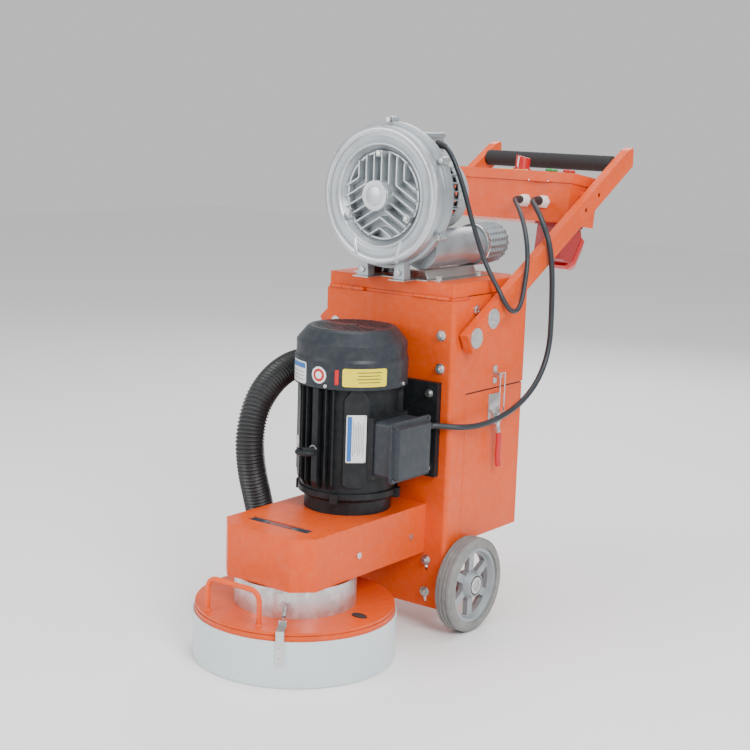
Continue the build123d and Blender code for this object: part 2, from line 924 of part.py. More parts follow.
with BuildPart() as latch_bases:
    for sign in (-1, 1):
        with BuildSketch(latch_section(sign)):
            with Locations((tank_half_width + 1.35, 460)):
                Rectangle(2.5, 60)
        extrude(amount=20, both=True)
        for ear_y in (-14.0, 14.0):
            with BuildSketch(latch_section(sign, ear_y)):
                with BuildLine():
                    Polyline((167, 430), (176, 433), (177, 442), (174, 452), (167, 462), close=True)
                make_face()
            extrude(amount=1.5, both=True)
        with BuildSketch(latch_section(sign)):
            with Locations(lever_pivot):
                Circle(3)
        extrude(amount=16, both=True)
save(latch_bases, "latch_bases")

lever_half = 6.0


def latch(sign, name):
    """The moving half of one toggle latch: its lever with the wire loop. sign is -1 on the left."""
    at = latch_section(sign)
    with BuildPart() as lever:
        with BuildSketch(at):
            with BuildLine():
                Polyline(
                    (168.6, 437.9),
                    (175.2, 442.4),
                    (178.6, 438),
                    (181.5, 430),
                    (181, 421),
                    (184, 410),
                    (185.5, 380),
                    (184.5, 350),
                    (187.5, 336),
                    (184, 335),
                    (181, 350),
                    (181.5, 380),
                    (180, 405),
                    (174, 418),
                    (171, 433),
                    close=True,
                )
            make_face()
            with Locations(lever_pivot):
                Circle(4)
            with Locations(lever_pivot):
                Circle(3 + running_gap, mode=Mode.SUBTRACT)
        extrude(amount=lever_half, both=True)
        with BuildSketch(at):
            with Locations(loop_pivot):
                Circle(wire + running_gap)
        extrude(amount=lever_half, both=True, mode=Mode.SUBTRACT)
    save(lever, f"latch_lever_{name}")
    # the wire runs up outside the hook and drops over its lip, so that the bin can also slide out
    near, far = sign * loop_pivot[0], sign * loop_outside
    low, high = loop_pivot[1], loop_top
    half_loop = [
        (near, lever_half - 0.5, low),
        (near, loop_half, low),
        (far, loop_half, low + 24),
        (far, loop_half, high + 4),
        (near, loop_half, high),
    ]
    bends = [Vector(x, latch_y - y, z) for x, y, z in half_loop]
    bends += [Vector(x, latch_y + y, z) for x, y, z in reversed(half_loop)]
    with BuildPart() as loop:
        with BuildLine():
            FilletPolyline(*bends, radius=2)
        with BuildSketch(Plane(origin=bends[0], z_dir=(0, -1, 0))):
            Circle(wire)
        sweep()
    save(loop, f"latch_loop_{name}")


latch(-1, "left")
latch(1, "right")

# ================================================================ side-channel blower, on the lid
ring_inner = 94.0
clamp_count = 6


def section_y(offset):
    """Distance along the blower's axis, from its front face back, as a place on its half plane."""
    return blower_y + offset


with BuildPart() as blower_front_housing:
    with BuildSketch(blower_section):
        with BuildLine():
            Polyline(
                (ring_inner - 3, section_y(34)),
                (ring_inner - 3, section_y(16)),
                (ring_inner, section_y(12)),
                (ring_inner + 8, section_y(4)),
                (ring_inner + 17, section_y(0.6)),
                (ring_inner + 27, section_y(0)),
                (ring_inner + 37, section_y(3)),
                (ring_inner + 45, section_y(10)),
                (ring_inner + 48, section_y(18)),
                (ring_inner + 49, section_y(30)),
                (blower_radius, section_y(32)),
                (blower_radius, section_y(39)),
                (138, section_y(39)),
                (138, section_y(16)),
                (130, section_y(8)),
                (110, section_y(8)),
                (101, section_y(16)),
                (101, section_y(34)),
                close=True,
            )
        make_face()
    revolve(axis=blower_axis)
    with BuildSketch(upright(0, section_y(34), blower_z)):
        Circle(102)
        Circle(15, mode=Mode.SUBTRACT)
    extrude(amount=4)
    with BuildSketch(upright(0, section_y(39), blower_z)):
        with PolarLocations(blower_radius + 1, clamp_count - 1, start_angle=-30, angular_range=300):
            Circle(9)
        Circle(blower_radius - 4, mode=Mode.SUBTRACT)
    extrude(amount=9)
    for foot_x in (-46.0, 46.0):
        with BuildSketch(upright(foot_x, section_y(39), lid_top + 2.6)):
            with BuildLine():
                Polyline((-13, 0), (13, 0), (13, 12), (9, 42), (-9, 42), (-13, 12), close=True)
            make_face()
        extrude(amount=22)
    with BuildSketch(blower_section):
        with Locations((119.5, section_y(27))):
            Rectangle(36, 24)
    revolve(axis=blower_axis, mode=Mode.SUBTRACT)
save(blower_front_housing, "blower_front_housing")

# ---- guard over the front bearing: hub disc, ring, three lugs and three fans of parallel ribs
rib_pitch = 19.0
rib_half = 1.6
guard_front = -14.0
guard_rear = 29.0

with BuildPart() as blower_guard:
    with BuildSketch(upright(0, section_y(guard_rear), blower_z)):
        Circle(ring_inner - 4)
        Circle(ring_inner - 8, mode=Mode.SUBTRACT)
    extrude(amount=14)
    with BuildSketch(upright(0, section_y(guard_rear), blower_z)):
        Circle(31)
        Circle(17, mode=Mode.SUBTRACT)
    extrude(amount=guard_rear - guard_front - 5)
    with BuildSketch(upright(0, section_y(guard_front + 5), blower_z)):
        Circle(30.4)
    extrude(amount=5)
    for turn in (0.0, 120.0, 240.0):
        a = radians(turn)
        facing = Plane(origin=(0, section_y(guard_rear), blower_z), x_dir=(cos(a), 0, sin(a)), z_dir=(0, -1, 0))
        with BuildSketch(facing):
            for rib in range(-3, 4):
                x = (rib + 0.5) * rib_pitch - rib_pitch / 2
                foot = max(abs(x) / tan(radians(60)), (29.5**2 - min(abs(x), 29.5) ** 2) ** 0.5)
                tip = ((ring_inner - 6) ** 2 - x**2) ** 0.5
                with Locations((x, (foot + tip) / 2)):
                    Rectangle(2 * rib_half, tip - foot)
        extrude(amount=22)
        with BuildSketch(facing):
            with Locations((0, ring_inner - 9.8)):
                Rectangle(15, 12.2)
        extrude(amount=31)
save(blower_guard, "blower_guard")

with BuildPart() as blower_rear_housing:
    with BuildSketch(blower_section):
        with BuildLine():
            Polyline(
                (18, section_y(58)),
                (18, section_y(52)),
                (101, section_y(52)),
                (101, section_y(66)),
                (108, section_y(71)),
                (128, section_y(71)),
                (138, section_y(60)),
                (138, section_y(39.2)),
                (blower_radius, section_y(39.2)),
                (blower_radius, section_y(46)),
                (143, section_y(48)),
                (142, section_y(62)),
                (132, section_y(75)),
                (104, section_y(76)),
                (96, section_y(70)),
                (94, section_y(58)),
                close=True,
            )
        make_face()
    revolve(axis=blower_axis)
    with BuildSketch(upright(0, section_y(48.2), blower_z)):
        with PolarLocations(blower_radius + 1, clamp_count - 1, start_angle=-30, angular_range=300):
            Circle(9)
        Circle(blower_radius - 4, mode=Mode.SUBTRACT)
    extrude(amount=9)
    with BuildSketch(Plane(origin=(0, section_y(66), port_z), x_dir=(-1, 0, 0), z_dir=(0, 1, 0))):
        with Locations((-port_x, 0), (port_x, 0)):
            Circle(port_radius + 2)
    extrude(amount=50)
    with BuildSketch(Plane(origin=(0, section_y(78), port_z), x_dir=(-1, 0, 0), z_dir=(0, 1, 0))):
        with Locations((-port_x, 0), (port_x, 0)):
            Circle(port_radius - 4)
    extrude(amount=50, mode=Mode.SUBTRACT)
save(blower_rear_housing, "blower_rear_housing")

# ---- impeller with the rotor shaft and its cooling fan
with BuildPart() as blower_impeller:
    with BuildSketch(blower_section):
        with BuildLine():
            Polyline(
                (0, section_y(20)),
                (12, section_y(20)),
                (12, section_y(39)),
                (100, section_y(42)),
                (105, section_y(30)),
                (132, section_y(30)),
                (132, section_y(50)),
                (105, section_y(50)),
                (100, section_y(46)),
                (17, section_y(47)),
                (12, section_y(49)),
                (12, section_y(84)),
                (40, section_y(84)),
                (40, section_y(150)),
                (12, section_y(150)),
                (12, section_y(188)),
                (58, section_y(190)),
                (58, section_y(193)),
                (12, section_y(200)),
                (12, section_y(216)),
                (0, section_y(216)),
                close=True,
            )
        make_face()
    revolve(axis=blower_axis)
save(blower_impeller, "blower_impeller")

# ---- finned motor frame of the blower, with its terminal box on top
blower_frame_radius = 70.0
blower_fin_radius = 88.0
frame_start = 76.5
frame_end = 174.0
gland_y = head_y + 366.0
blower_gland = (46.0, gland_y, 1006.0)

with BuildPart() as blower_motor_frame:
    with BuildSketch(Plane(origin=(0, section_y(frame_start), blower_z), x_dir=(-1, 0, 0), z_dir=(0, 1, 0))):
        Circle(blower_frame_radius)
        Circle(44, mode=Mode.SUBTRACT)
    extrude(amount=frame_end - frame_start)
    with BuildSketch(Plane(origin=(0, section_y(frame_start), blower_z), x_dir=(-1, 0, 0), z_dir=(0, 1, 0))):
        with PolarLocations(blower_fin_radius - 10.5, 30, start_angle=6):
            Rectangle(21, 2.6)
    extrude(amount=frame_end - frame_start)
    # cut back round the two ports
    with BuildSketch(upright(0, section_y(frame_start), port_z)):
        with Locations((-port_x, 0), (port_x, 0)):
            Circle(port_radius + 2.8)
    extrude(amount=frame_start - frame_end, mode=Mode.SUBTRACT)
save(blower_motor_frame, "blower_motor_frame")

with BuildPart() as blower_terminal_box:
    with BuildSketch(level(blower_z + blower_fin_radius + 0.2, 0, gland_y)):
        Rectangle(80, 72)
    extrude(amount=30)
    fillet(blower_terminal_box.edges().filter_by(Axis.Z), radius=5)
    with BuildSketch(level(blower_z + blower_fin_radius + 30.2, 0, gland_y)):
        RectangleRounded(86, 78, 6)
    extrude(amount=9)
    fillet(blower_terminal_box.faces().sort_by(Axis.Z)[-1].edges(), radius=3)
    with BuildSketch(side(39, gland_y, blower_gland[2])):
        RegularPolygon(10, 6)
    extrude(amount=7)
save(blower_terminal_box, "blower_terminal_box")

with BuildPart() as blower_fan_cowl:
    with BuildSketch(blower_section):
        with BuildLine():
            Polyline(
                (76, section_y(176)),
                (78, section_y(176)),
                (78, section_y(212)),
                (68, section_y(229)),
                (0, section_y(229)),
                (0, section_y(226.5)),
                (66, section_y(226.5)),
                (76, section_y(211)),
                close=True,
            )
        make_face()
    revolve(axis=blower_axis)
    with BuildSketch(Plane(origin=(0, section_y(222), blower_z), x_dir=(-1, 0, 0), z_dir=(0, 1, 0))):
        for ring_radius, holes in ((22, 8), (36, 14), (50, 20)):
            with PolarLocations(ring_radius, holes):
                Circle(3.6)
    extrude(amount=12, mode=Mode.SUBTRACT)
save(blower_fan_cowl, "blower_fan_cowl")

# ---- folded zinc bracket between the blower and the lid
bracket_front = head_y + 302.0
bracket_rear = head_y + 484.0
bracket_top = 751.6

with BuildPart() as blower_bracket:
    with BuildSketch(upright(0, bracket_rear)):
        with BuildLine():
            Polyline(
                (-112, lid_top),
                (-80, lid_top),
                (-70, bracket_top - 2),
                (70, bracket_top - 2),
                (80, lid_top),
                (112, lid_top),
                (112, lid_top + 2),
                (81.2, lid_top + 2),
                (71.2, bracket_top),
                (-71.2, bracket_top),
                (-81.2, lid_top + 2),
                (-112, lid_top + 2),
                close=True,
            )
        make_face()
    extrude(amount=bracket_rear - bracket_front)
    with BuildSketch(level(lid_top)):
        for x in (-46.0, 46.0):
            with Locations((x, (section_y(8) + bracket_front + 10) / 2)):
                Rectangle(40, bracket_front + 10 - section_y(8))
        with Locations((0, bracket_front - 6)):
            Rectangle(180, 22)
    extrude(amount=2)
    with BuildSketch(level(bracket_top + 1, *suction_port)):
        Circle(suction_bore + 5)
    extrude(amount=lid_top - bracket_top - 1, mode=Mode.SUBTRACT)
save(blower_bracket, "blower_bracket")

# ---- outlet pipe and its pleated wire-cloth muffler
pipe_start = section_y(116.2)
muffler_start = head_y + 485.0
muffler_end = head_y + 590.0

port_axis = Axis((port_x, 0, port_z), (0, 1, 0))
port_section = Plane(origin=(port_x, 0, port_z), x_dir=(1, 0, 0), z_dir=(0, 0, 1))

elbow_start = section_y(110)

with BuildPart() as blower_pipes:
    with BuildSketch(port_section):
        with Locations((port_radius - 1.5, (pipe_start + muffler_start) / 2 + 4)):
            Rectangle(3, muffler_start - pipe_start + 8)
    revolve(axis=port_axis)
    # elbow from the suction port down into the lid
    with BuildLine():
        FilletPolyline(
            (-port_x, elbow_start, port_z),
            (-port_x, suction_port[1], port_z),
            (-port_x, suction_port[1], lid_top),
            radius=46,
        )
    with BuildSketch(Plane(origin=(-port_x, elbow_start, port_z), z_dir=(0, 1, 0))):
        Circle(port_radius - 4.4)
        Circle(suction_bore, mode=Mode.SUBTRACT)
    sweep()
save(blower_pipes, "blower_pipes")

with BuildPart() as muffler:
    with BuildSketch(port_section):
        with BuildLine():
            Polyline((port_radius + 0.1, muffler_start + 9), (port_radius + 0.1, muffler_start), (45, muffler_start))
            Line((45, muffler_start), (45, muffler_end - 24))
            RadiusArc((45, muffler_end - 24), (20, muffler_end), -27)
            Polyline((20, muffler_end), (0, muffler_end), (0, muffler_end - 3), (19, muffler_end - 3))
            Polyline((19, muffler_end - 3), (42, muffler_end - 27), (42, muffler_start + 9))
            Line((42, muffler_start + 9), (port_radius + 0.1, muffler_start + 9))
        make_face()
    revolve(axis=port_axis)
save(muffler, "muffler")

# ================================================================ handle
bar_end = rear_y
along = (cos(radians(bar_angle)), sin(radians(bar_angle)))
across = (along[1], -along[0])
bar_foot = (head_y + 291.4, 630.0)  # front end of a bar's top edge, as y and z


def on_bar(run, depth=0.0):
    """A point of the bar's side view, run along its top edge and depth under it."""
    y = bar_foot[0] + run * along[0] + depth * across[0]
    return (y, bar_foot[1] + run * along[1] + depth * across[1])


def bar_outline(inset):
    """Side view of a handle bar: square foot, rear end cut upright with its top corner cut off."""
    full = (bar_end - bar_foot[0]) / along[0]
    low_full = (bar_end - on_bar(0, bar_depth)[0]) / along[0]
    return [
        on_bar(inset, inset),
        on_bar(full - 28 - inset, inset),
        (bar_end - 4 - inset, on_bar(full - 8)[1] - inset - 4),
        (bar_end - inset, on_bar(full - 8)[1] - inset - 12),
        on_bar(low_full - inset * 1.6, bar_depth - inset),
        on_bar(inset, bar_depth - inset),
    ]


clamp_runs = (24.0, 94.0)
spare_runs = (516.0, 580.0)

with BuildPart() as handle_bars:
    for low_x in (-bar_inner - bar_width, bar_inner):
        with BuildSketch(side(low_x)):
            with BuildLine():
                Polyline(*bar_outline(0), close=True)
            make_face()
        extrude(amount=bar_width)
        with BuildSketch(side(low_x + bar_wall)):
            with BuildLine():
                Polyline(*bar_outline(bar_wall), close=True)
            make_face()
        extrude(amount=bar_width - 2 * bar_wall, mode=Mode.SUBTRACT)
    with BuildSketch(side(-bar_inner - bar_width)):
        for run in spare_runs:
            with Locations(on_bar(run, 22)):
                Circle(5)
    extrude(amount=2 * (bar_inner + bar_width), mode=Mode.SUBTRACT)
    with BuildSketch(side(-bar_inner - 1, head_y + grip_offset, grip_z)):
        Circle(12.5)
        Circle(10.5, mode=Mode.SUBTRACT)
    extrude(amount=2 * bar_inner + 2)
save(handle_bars, "handle_bars")

with BuildPart() as foam_grip:
    with BuildSketch(side(-bar_inner + 1, head_y + grip_offset, grip_z)):
        Circle(grip_radius)
        Circle(12.5, mode=Mode.SUBTRACT)
    extrude(amount=2 * bar_inner - 2)
save(foam_grip, "foam_grip")

# ================================================================ control box, tilted down to the rear
tilt = radians(panel_tilt)
panel_origin = Vector(0, head_y + 727.0, 836.5)
panel_up = Vector(0, sin(tilt), cos(tilt))
panel_back = Vector(0, cos(tilt), -sin(tilt))


def panel(height, x=0.0, back=0.0):
    """A plane parallel to the control panel, height above the box's bottom."""
    return Plane(origin=panel_origin + panel_up * height + panel_back * back + Vector(x, 0, 0),
                 x_dir=(1, 0, 0), z_dir=panel_up)


def panel_face(back, x=0.0, height=0.0):
    """A plane facing the front of the control box: its own y runs up the box."""
    return Plane(origin=panel_origin + panel_up * height + panel_back * back + Vector(x, 0, 0),
                 x_dir=(1, 0, 0), z_dir=-panel_back)


panel_sheet = 2.0
gland_x = (43.0, 92.0)
gland_height = 43.5
inlet_x = 98.0
inlet_back = 68.0
boss_run = 62.0

with BuildPart() as control_box:
    with BuildSketch(panel(0, 0, panel_depth / 2)):
        Rectangle(2 * panel_half_width, panel_depth)
    extrude(amount=panel_height)
    with BuildSketch(panel(panel_sheet, 0, panel_depth / 2)):
        Rectangle(2 * (panel_half_width - panel_sheet), panel_depth - 2 * panel_sheet)
    extrude(amount=panel_height, mode=Mode.SUBTRACT)
    with BuildSketch(panel_face(panel_sheet + 0.5, 0, gland_height)):
        for x in gland_x:
            with Locations((x, 0)):
                Circle(10)
    extrude(amount=panel_sheet + 1, mode=Mode.SUBTRACT)
    with BuildSketch(panel(panel_sheet + 0.5, inlet_x, inlet_back)):
        Circle(24)
    extrude(amount=-panel_sheet - 1, mode=Mode.SUBTRACT)
    for low_x in (-bar_inner + 0.1, panel_half_width - 0.5):
        with BuildSketch(side(low_x, head_y + 727.0 + boss_run, 897.0)):
            Circle(8)
        extrude(amount=bar_inner - 0.1 - panel_half_width + 0.5)
save(control_box, "control_box")

rim_low = 89.0
rim_high = 112.0
rim_out = 3.5
button_x = {"start": 70.0, "stop": 116.0}
button_back = 53.0
switch_x = -10.0
switch_back = 55.0
button_stem = 9.0

with BuildPart() as control_lid:
    with BuildSketch(panel(rim_low, 0, panel_depth / 2)):
        Rectangle(2 * (panel_half_width + rim_out), panel_depth + 2 * rim_out)
    extrude(amount=rim_high - rim_low)
    with BuildSketch(panel(rim_low, 0, panel_depth / 2)):
        Rectangle(2 * (panel_half_width + rim_out - 2), panel_depth + 2 * rim_out - 4)
    extrude(amount=rim_high - rim_low - 2, mode=Mode.SUBTRACT)
    with BuildSketch(panel(rim_high)):
        for x in button_x.values():
            with Locations((x, button_back)):
                Circle(button_stem + 0.5)
        with Locations((switch_x, switch_back)):
            Circle(8)
    extrude(amount=-4, mode=Mode.SUBTRACT)
    with BuildSketch(panel_face(-rim_out, 76, rim_low + 1.5)):
        RectangleRounded(56, 5, 2)
    extrude(amount=4)
save(control_lid, "control_lid")

plate_height = 3.0
knob_low = rim_high + plate_height + 0.4

with BuildPart() as switch_knob:
    with BuildSketch(panel(knob_low - 12, switch_x, switch_back)):
        Circle(6)
    extrude(amount=12)
    with BuildSketch(panel(knob_low, switch_x, switch_back)):
        Circle(21)
    extrude(amount=5)
    with BuildSketch(panel(knob_low + 5, switch_x, switch_back)):
        Circle(17)
    extrude(amount=31)
    with BuildSketch(panel_face(switch_back + 30, switch_x, knob_low + 5)):
        with BuildLine():
            Polyline((-18, 31.5), (18, 31.5), (18, 24), close=True)
        make_face()
    extrude(amount=60, mode=Mode.SUBTRACT)
save(switch_knob, "switch_knob")

for name, x in button_x.items():
    with BuildPart() as button:
        with BuildSketch(panel(rim_high - 10, x, button_back)):
            Circle(button_stem)
        extrude(amount=16)
        with BuildSketch(panel(rim_high + 5.6, x, button_back)):
            Circle(14)
        extrude(amount=5)
        fillet(button.edges().sort_by(Axis.Z)[-1], radius=1.5)
    save(button, f"{name}_button")

# ---- white nylon cable glands
gland_tip = 24.0

with BuildPart() as cable_glands:
    for x in gland_x:
        with BuildSketch(panel_face(-0.1, x, gland_height)):
            RegularPolygon(15.5, 6)
        extrude(amount=7)
        with BuildSketch(panel_face(-7, x, gland_height)):
            Circle(14)
        extrude(amount=gland_tip - 7.1, taper=14)
        with BuildSketch(panel_face(8, x, gland_height)):
            Circle(9.8)
        extrude(amount=8)
save(cable_glands, "cable_glands")

# ---- red power inlet under the box, facing back and down, with its sprung flap
inlet_tilt = radians(60)
inlet_out = panel_back * sin(inlet_tilt) - panel_up * cos(inlet_tilt)
inlet_half = 33.0
mouth_depth = 34.0


def under_panel(back, height):
    """A point of the inlet's side view as y and z, from the box's front bottom edge."""
    spot = panel_origin + panel_back * back + panel_up * height
    return (spot.Y, spot.Z)


def mouth(distance):
    """A plane across the inlet's mouth, distance out from its rim. Its own y runs down."""
    return Plane(origin=panel_origin + panel_back * 105 - panel_up * 56 + inlet_out * distance
                 + Vector(inlet_x, 0, 0), x_dir=(1, 0, 0), z_dir=inlet_out)


with BuildPart() as inlet_socket:
    with BuildSketch(Plane(origin=panel_origin + panel_back * inlet_back + Vector(inlet_x, 0, 0),
                           x_dir=(1, 0, 0), z_dir=-panel_up)):
        RectangleRounded(76, 96, 6)
    extrude(amount=5)
    with BuildSketch(side(inlet_x - inlet_half)):
        with BuildLine():
            Polyline(
                under_panel(28, -4),
                under_panel(27, -66),
                under_panel(40, -80),
                under_panel(87.2, -86.8),
                under_panel(122.8, -25.2),
                under_panel(112, -4),
                close=True,
            )
        make_face()
    extrude(amount=2 * inlet_half)
    with BuildSketch(mouth(0)):
        Circle(25)
    extrude(amount=-mouth_depth, mode=Mode.SUBTRACT)
    with BuildSketch(mouth(-mouth_depth)):
        with PolarLocations(13, 3):
            Circle(3)
    extrude(amount=13)
save(inlet_socket, "inlet_socket")

flap_half = 34.0

with BuildPart() as inlet_flap:
    with BuildSketch(mouth(0.5)):
        with BuildLine():
            Polyline(
                (-flap_half, -37),
                (flap_half, -37),
                (flap_half, 26),
                (20, 42),
                (-20, 42),
                (-flap_half, 26),
                close=True,
            )
        make_face()
    extrude(amount=14)
    with BuildSketch(mouth(14.5)):
        with BuildLine():
            Polyline(
                (-flap_half, -37),
                (flap_half, -37),
                (flap_half, 26),
                (20, 42),
                (-20, 42),
                (-flap_half, 26),
                close=True,
            )
        make_face()
    extrude(amount=22, taper=26)
save(inlet_flap, "inlet_flap")

# ================================================================ fasteners
with BuildPart() as machine_bolts:
    # chassis front: two a side beside the motor, four in the slots below the belt box
    for x, z in [(137.0, 558.0), (137.0, 626.0), (-137.0, 626.0)] + slot_bolts:
        with BuildSketch(upright(x, plate_y, z)):
            Circle(11)
        extrude(amount=2)
        with BuildSketch(upright(x, plate_y - 2, z)):
            RegularPolygon(8, 6)
        extrude(amount=6)
        with BuildSketch(upright(x, plate_y - 8, z)):
            Circle(4)
        extrude(amount=4)
    # lifting eye on the motor's front rib
    eye_y = motor_y - fin_radius
    with BuildSketch(upright(0, eye_y, 405)):
        Circle(10)
    extrude(amount=5)
    with BuildSketch(upright(0, eye_y - 25, 405)):
        with Locations((17, 0)):
            Circle(5)
    revolve(axis=Axis((0, eye_y - 25, 405), (0, 0, 1)))
    # motor foot
    for x, z in mount_bolts:
        with BuildSketch(upright(x, plate_y - mount_thickness, z)):
            Circle(9)
        extrude(amount=1.6)
        with BuildSketch(upright(x, plate_y - mount_thickness - 1.6, z)):
            RegularPolygon(6.5, 6)
        extrude(amount=6)
    for sign in (-1, 1):
        # handle clamp bolts: large washer and hexagon head outside, spacer inside
        for run in clamp_runs:
            y, z = on_bar(run, 22)
            outward = Vector(sign, 0, 0)
            with BuildSketch(Plane(origin=(sign * (bar_inner + bar_width), y, z), z_dir=outward)):
                Circle(21)
            extrude(amount=2.5)
            with BuildSketch(Plane(origin=(sign * (bar_inner + bar_width + 2.5), y, z), z_dir=outward)):
                RegularPolygon(10.5, 6)
            extrude(amount=7.5)
            with BuildSketch(Plane(origin=(sign * bar_inner, y, z), z_dir=-outward)):
                Circle(13)
            extrude(amount=bar_inner - chassis_half_width)
        # belt box side screws
        for y in (head_y + 51.7, head_y + 227.5):
            with BuildSketch(Plane(origin=(sign * box_half_width, y, 210.5), z_dir=outward)):
                Circle(6.5)
            extrude(amount=3)
save(machine_bolts, "machine_bolts")

with BuildPart() as blower_bolts:
    for clamp in range(clamp_count - 1):
        a = radians(60 * clamp - 30)
        x, z = (blower_radius + 3) * cos(a), blower_z + (blower_radius + 3) * sin(a)
        with BuildSketch(upright(x, section_y(30), z)):
            RegularPolygon(6, 6)
        extrude(amount=6)
        with BuildSketch(upright(x, section_y(54), z)):
            RegularPolygon(6, 6)
        extrude(amount=5.8)
    for x, y in [(sign * 96.0, y) for sign in (-1, 1) for y in (bracket_front + 18, bracket_rear - 18)]:
        with BuildSketch(level(lid_top + 2, x, y)):
            Circle(8)
        extrude(amount=1.6)
        with BuildSketch(level(lid_top + 3.6, x, y)):
            RegularPolygon(7, 6)
        extrude(amount=6)
save(blower_bolts, "blower_bolts")

# ================================================================ cables and hose
cord_routes = {
    "motor_cable": (
        6.0,
        [
            (136, 226.2, 445),
            (136.3, 241, 445),
            (144, 254, 445),
            (159, 265, 444),
            (178, 280, 443),
            (189, 302, 441),
            (196, 334, 440),
            (200, 374, 442),
            (202.5, 420, 449),
            (202.8, 468, 460),
            (202, 514, 477),
            (201, 556, 503),
            (200.5, 588, 540),
            (200.5, 604, 584),
            (201, 604, 632),
            (201.5, 601, 682),
            (202.2, 596, 730),
            (202, 588, 772),
            (198, 582, 806),
            (182, 586, 836),
            (156, 608, 860),
            (124, 640, 876),
            (102, 664, 884),
            (93, 686, 886.2),
            (92, 709.1, 882.9),
        ],
    ),
    "blower_cable": (
        5.0,
        [
            (46.2, 366, 1006),
            (62, 365.8, 1005.8),
            (80, 362, 994),
            (95, 363, 970),
            (108, 368, 936),
            (118, 376, 898),
            (126, 385, 858),
            (135, 396, 818),
            (146, 404, 780),
            (164, 407, 746),
            (187, 405, 716),
            (200.5, 410, 690),
            (205, 428, 670),
            (205, 456, 668),
            (202, 476, 688),
            (200, 488, 724),
            (198, 498, 762),
            (186, 513, 800),
            (160, 542, 834),
            (124, 584, 858),
            (86, 628, 876),
            (58, 660, 884),
            (44, 686, 886.2),
            (43, 709.1, 882.9),
        ],
    ),
    "dust_hose": (
        30.0,
        [
            (-148, 72, 138.6),
            (-148, 71.5, 200),
            (-149.5, 54, 270),
            (-151, 31, 342),
            (-152, 24, 412),
            (-151.5, 44, 478),
            (-151, 92, 522),
            (-151, 148, 543),
            (-146, 190, 547.5),
            (-134, 226, 546.2),
            (-130.6, 258.4, 545.2),
        ],
    ),
}

for name, (radius, places) in cord_routes.items():
    route = [(x, head_y + y, z) for x, y, z in places]
    radii = routed(route)
    with BuildPart() as cord:
        with BuildLine():
            line = FilletPolyline(*route, radius=radii)
        with BuildSketch(tube_plane(route)):
            Circle(radius)
        sweep()
    save(cord, name)
    drawn = line.length
    print(name, "length", round(drawn), "volume share", round(cord.part.volume / (pi * radius**2 * drawn), 4))
    print("  radii", [round(r) for r in radii])
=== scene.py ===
from math import cos, pi, radians, sin, sqrt

import bmesh
import bpy
from mathutils import Matrix, Vector

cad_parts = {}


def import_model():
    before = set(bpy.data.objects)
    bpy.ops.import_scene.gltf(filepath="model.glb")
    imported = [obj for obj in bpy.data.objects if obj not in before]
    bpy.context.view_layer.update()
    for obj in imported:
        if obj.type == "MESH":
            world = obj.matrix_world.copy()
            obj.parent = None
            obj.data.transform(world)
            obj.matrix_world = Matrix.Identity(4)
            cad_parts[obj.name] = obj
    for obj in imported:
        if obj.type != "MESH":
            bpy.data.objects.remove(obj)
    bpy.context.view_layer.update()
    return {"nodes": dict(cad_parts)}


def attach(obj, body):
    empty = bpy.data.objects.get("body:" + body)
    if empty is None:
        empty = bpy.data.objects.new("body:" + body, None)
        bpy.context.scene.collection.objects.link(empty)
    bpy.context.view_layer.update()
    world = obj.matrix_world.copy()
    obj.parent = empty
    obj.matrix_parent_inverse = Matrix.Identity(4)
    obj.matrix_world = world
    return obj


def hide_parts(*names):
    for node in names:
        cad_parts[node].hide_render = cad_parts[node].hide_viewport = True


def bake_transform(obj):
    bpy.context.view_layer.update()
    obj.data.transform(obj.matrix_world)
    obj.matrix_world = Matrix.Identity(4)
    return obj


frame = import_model()
nodes = frame["nodes"]

MM = 0.001  # metres in a millimetre
HEAD_Y = -0.3785  # the grinding head's axis
MOTOR_Y = HEAD_Y + 0.160
AXLE_Y = HEAD_Y + 0.339
BLOWER_Z = 0.9017
BLOWER_Y = HEAD_Y + 0.2313  # front face of the blower's ring
BLOWER_BOX_Y = HEAD_Y + 0.366
TILT = radians(8)
PANEL = Vector((0, HEAD_Y + 0.727, 0.8365))
PANEL_UP = Vector((0, sin(TILT), cos(TILT)))
PANEL_BACK = Vector((0, cos(TILT), -sin(TILT)))
X, Y, Z = Vector((1, 0, 0)), Vector((0, 1, 0)), Vector((0, 0, 1))


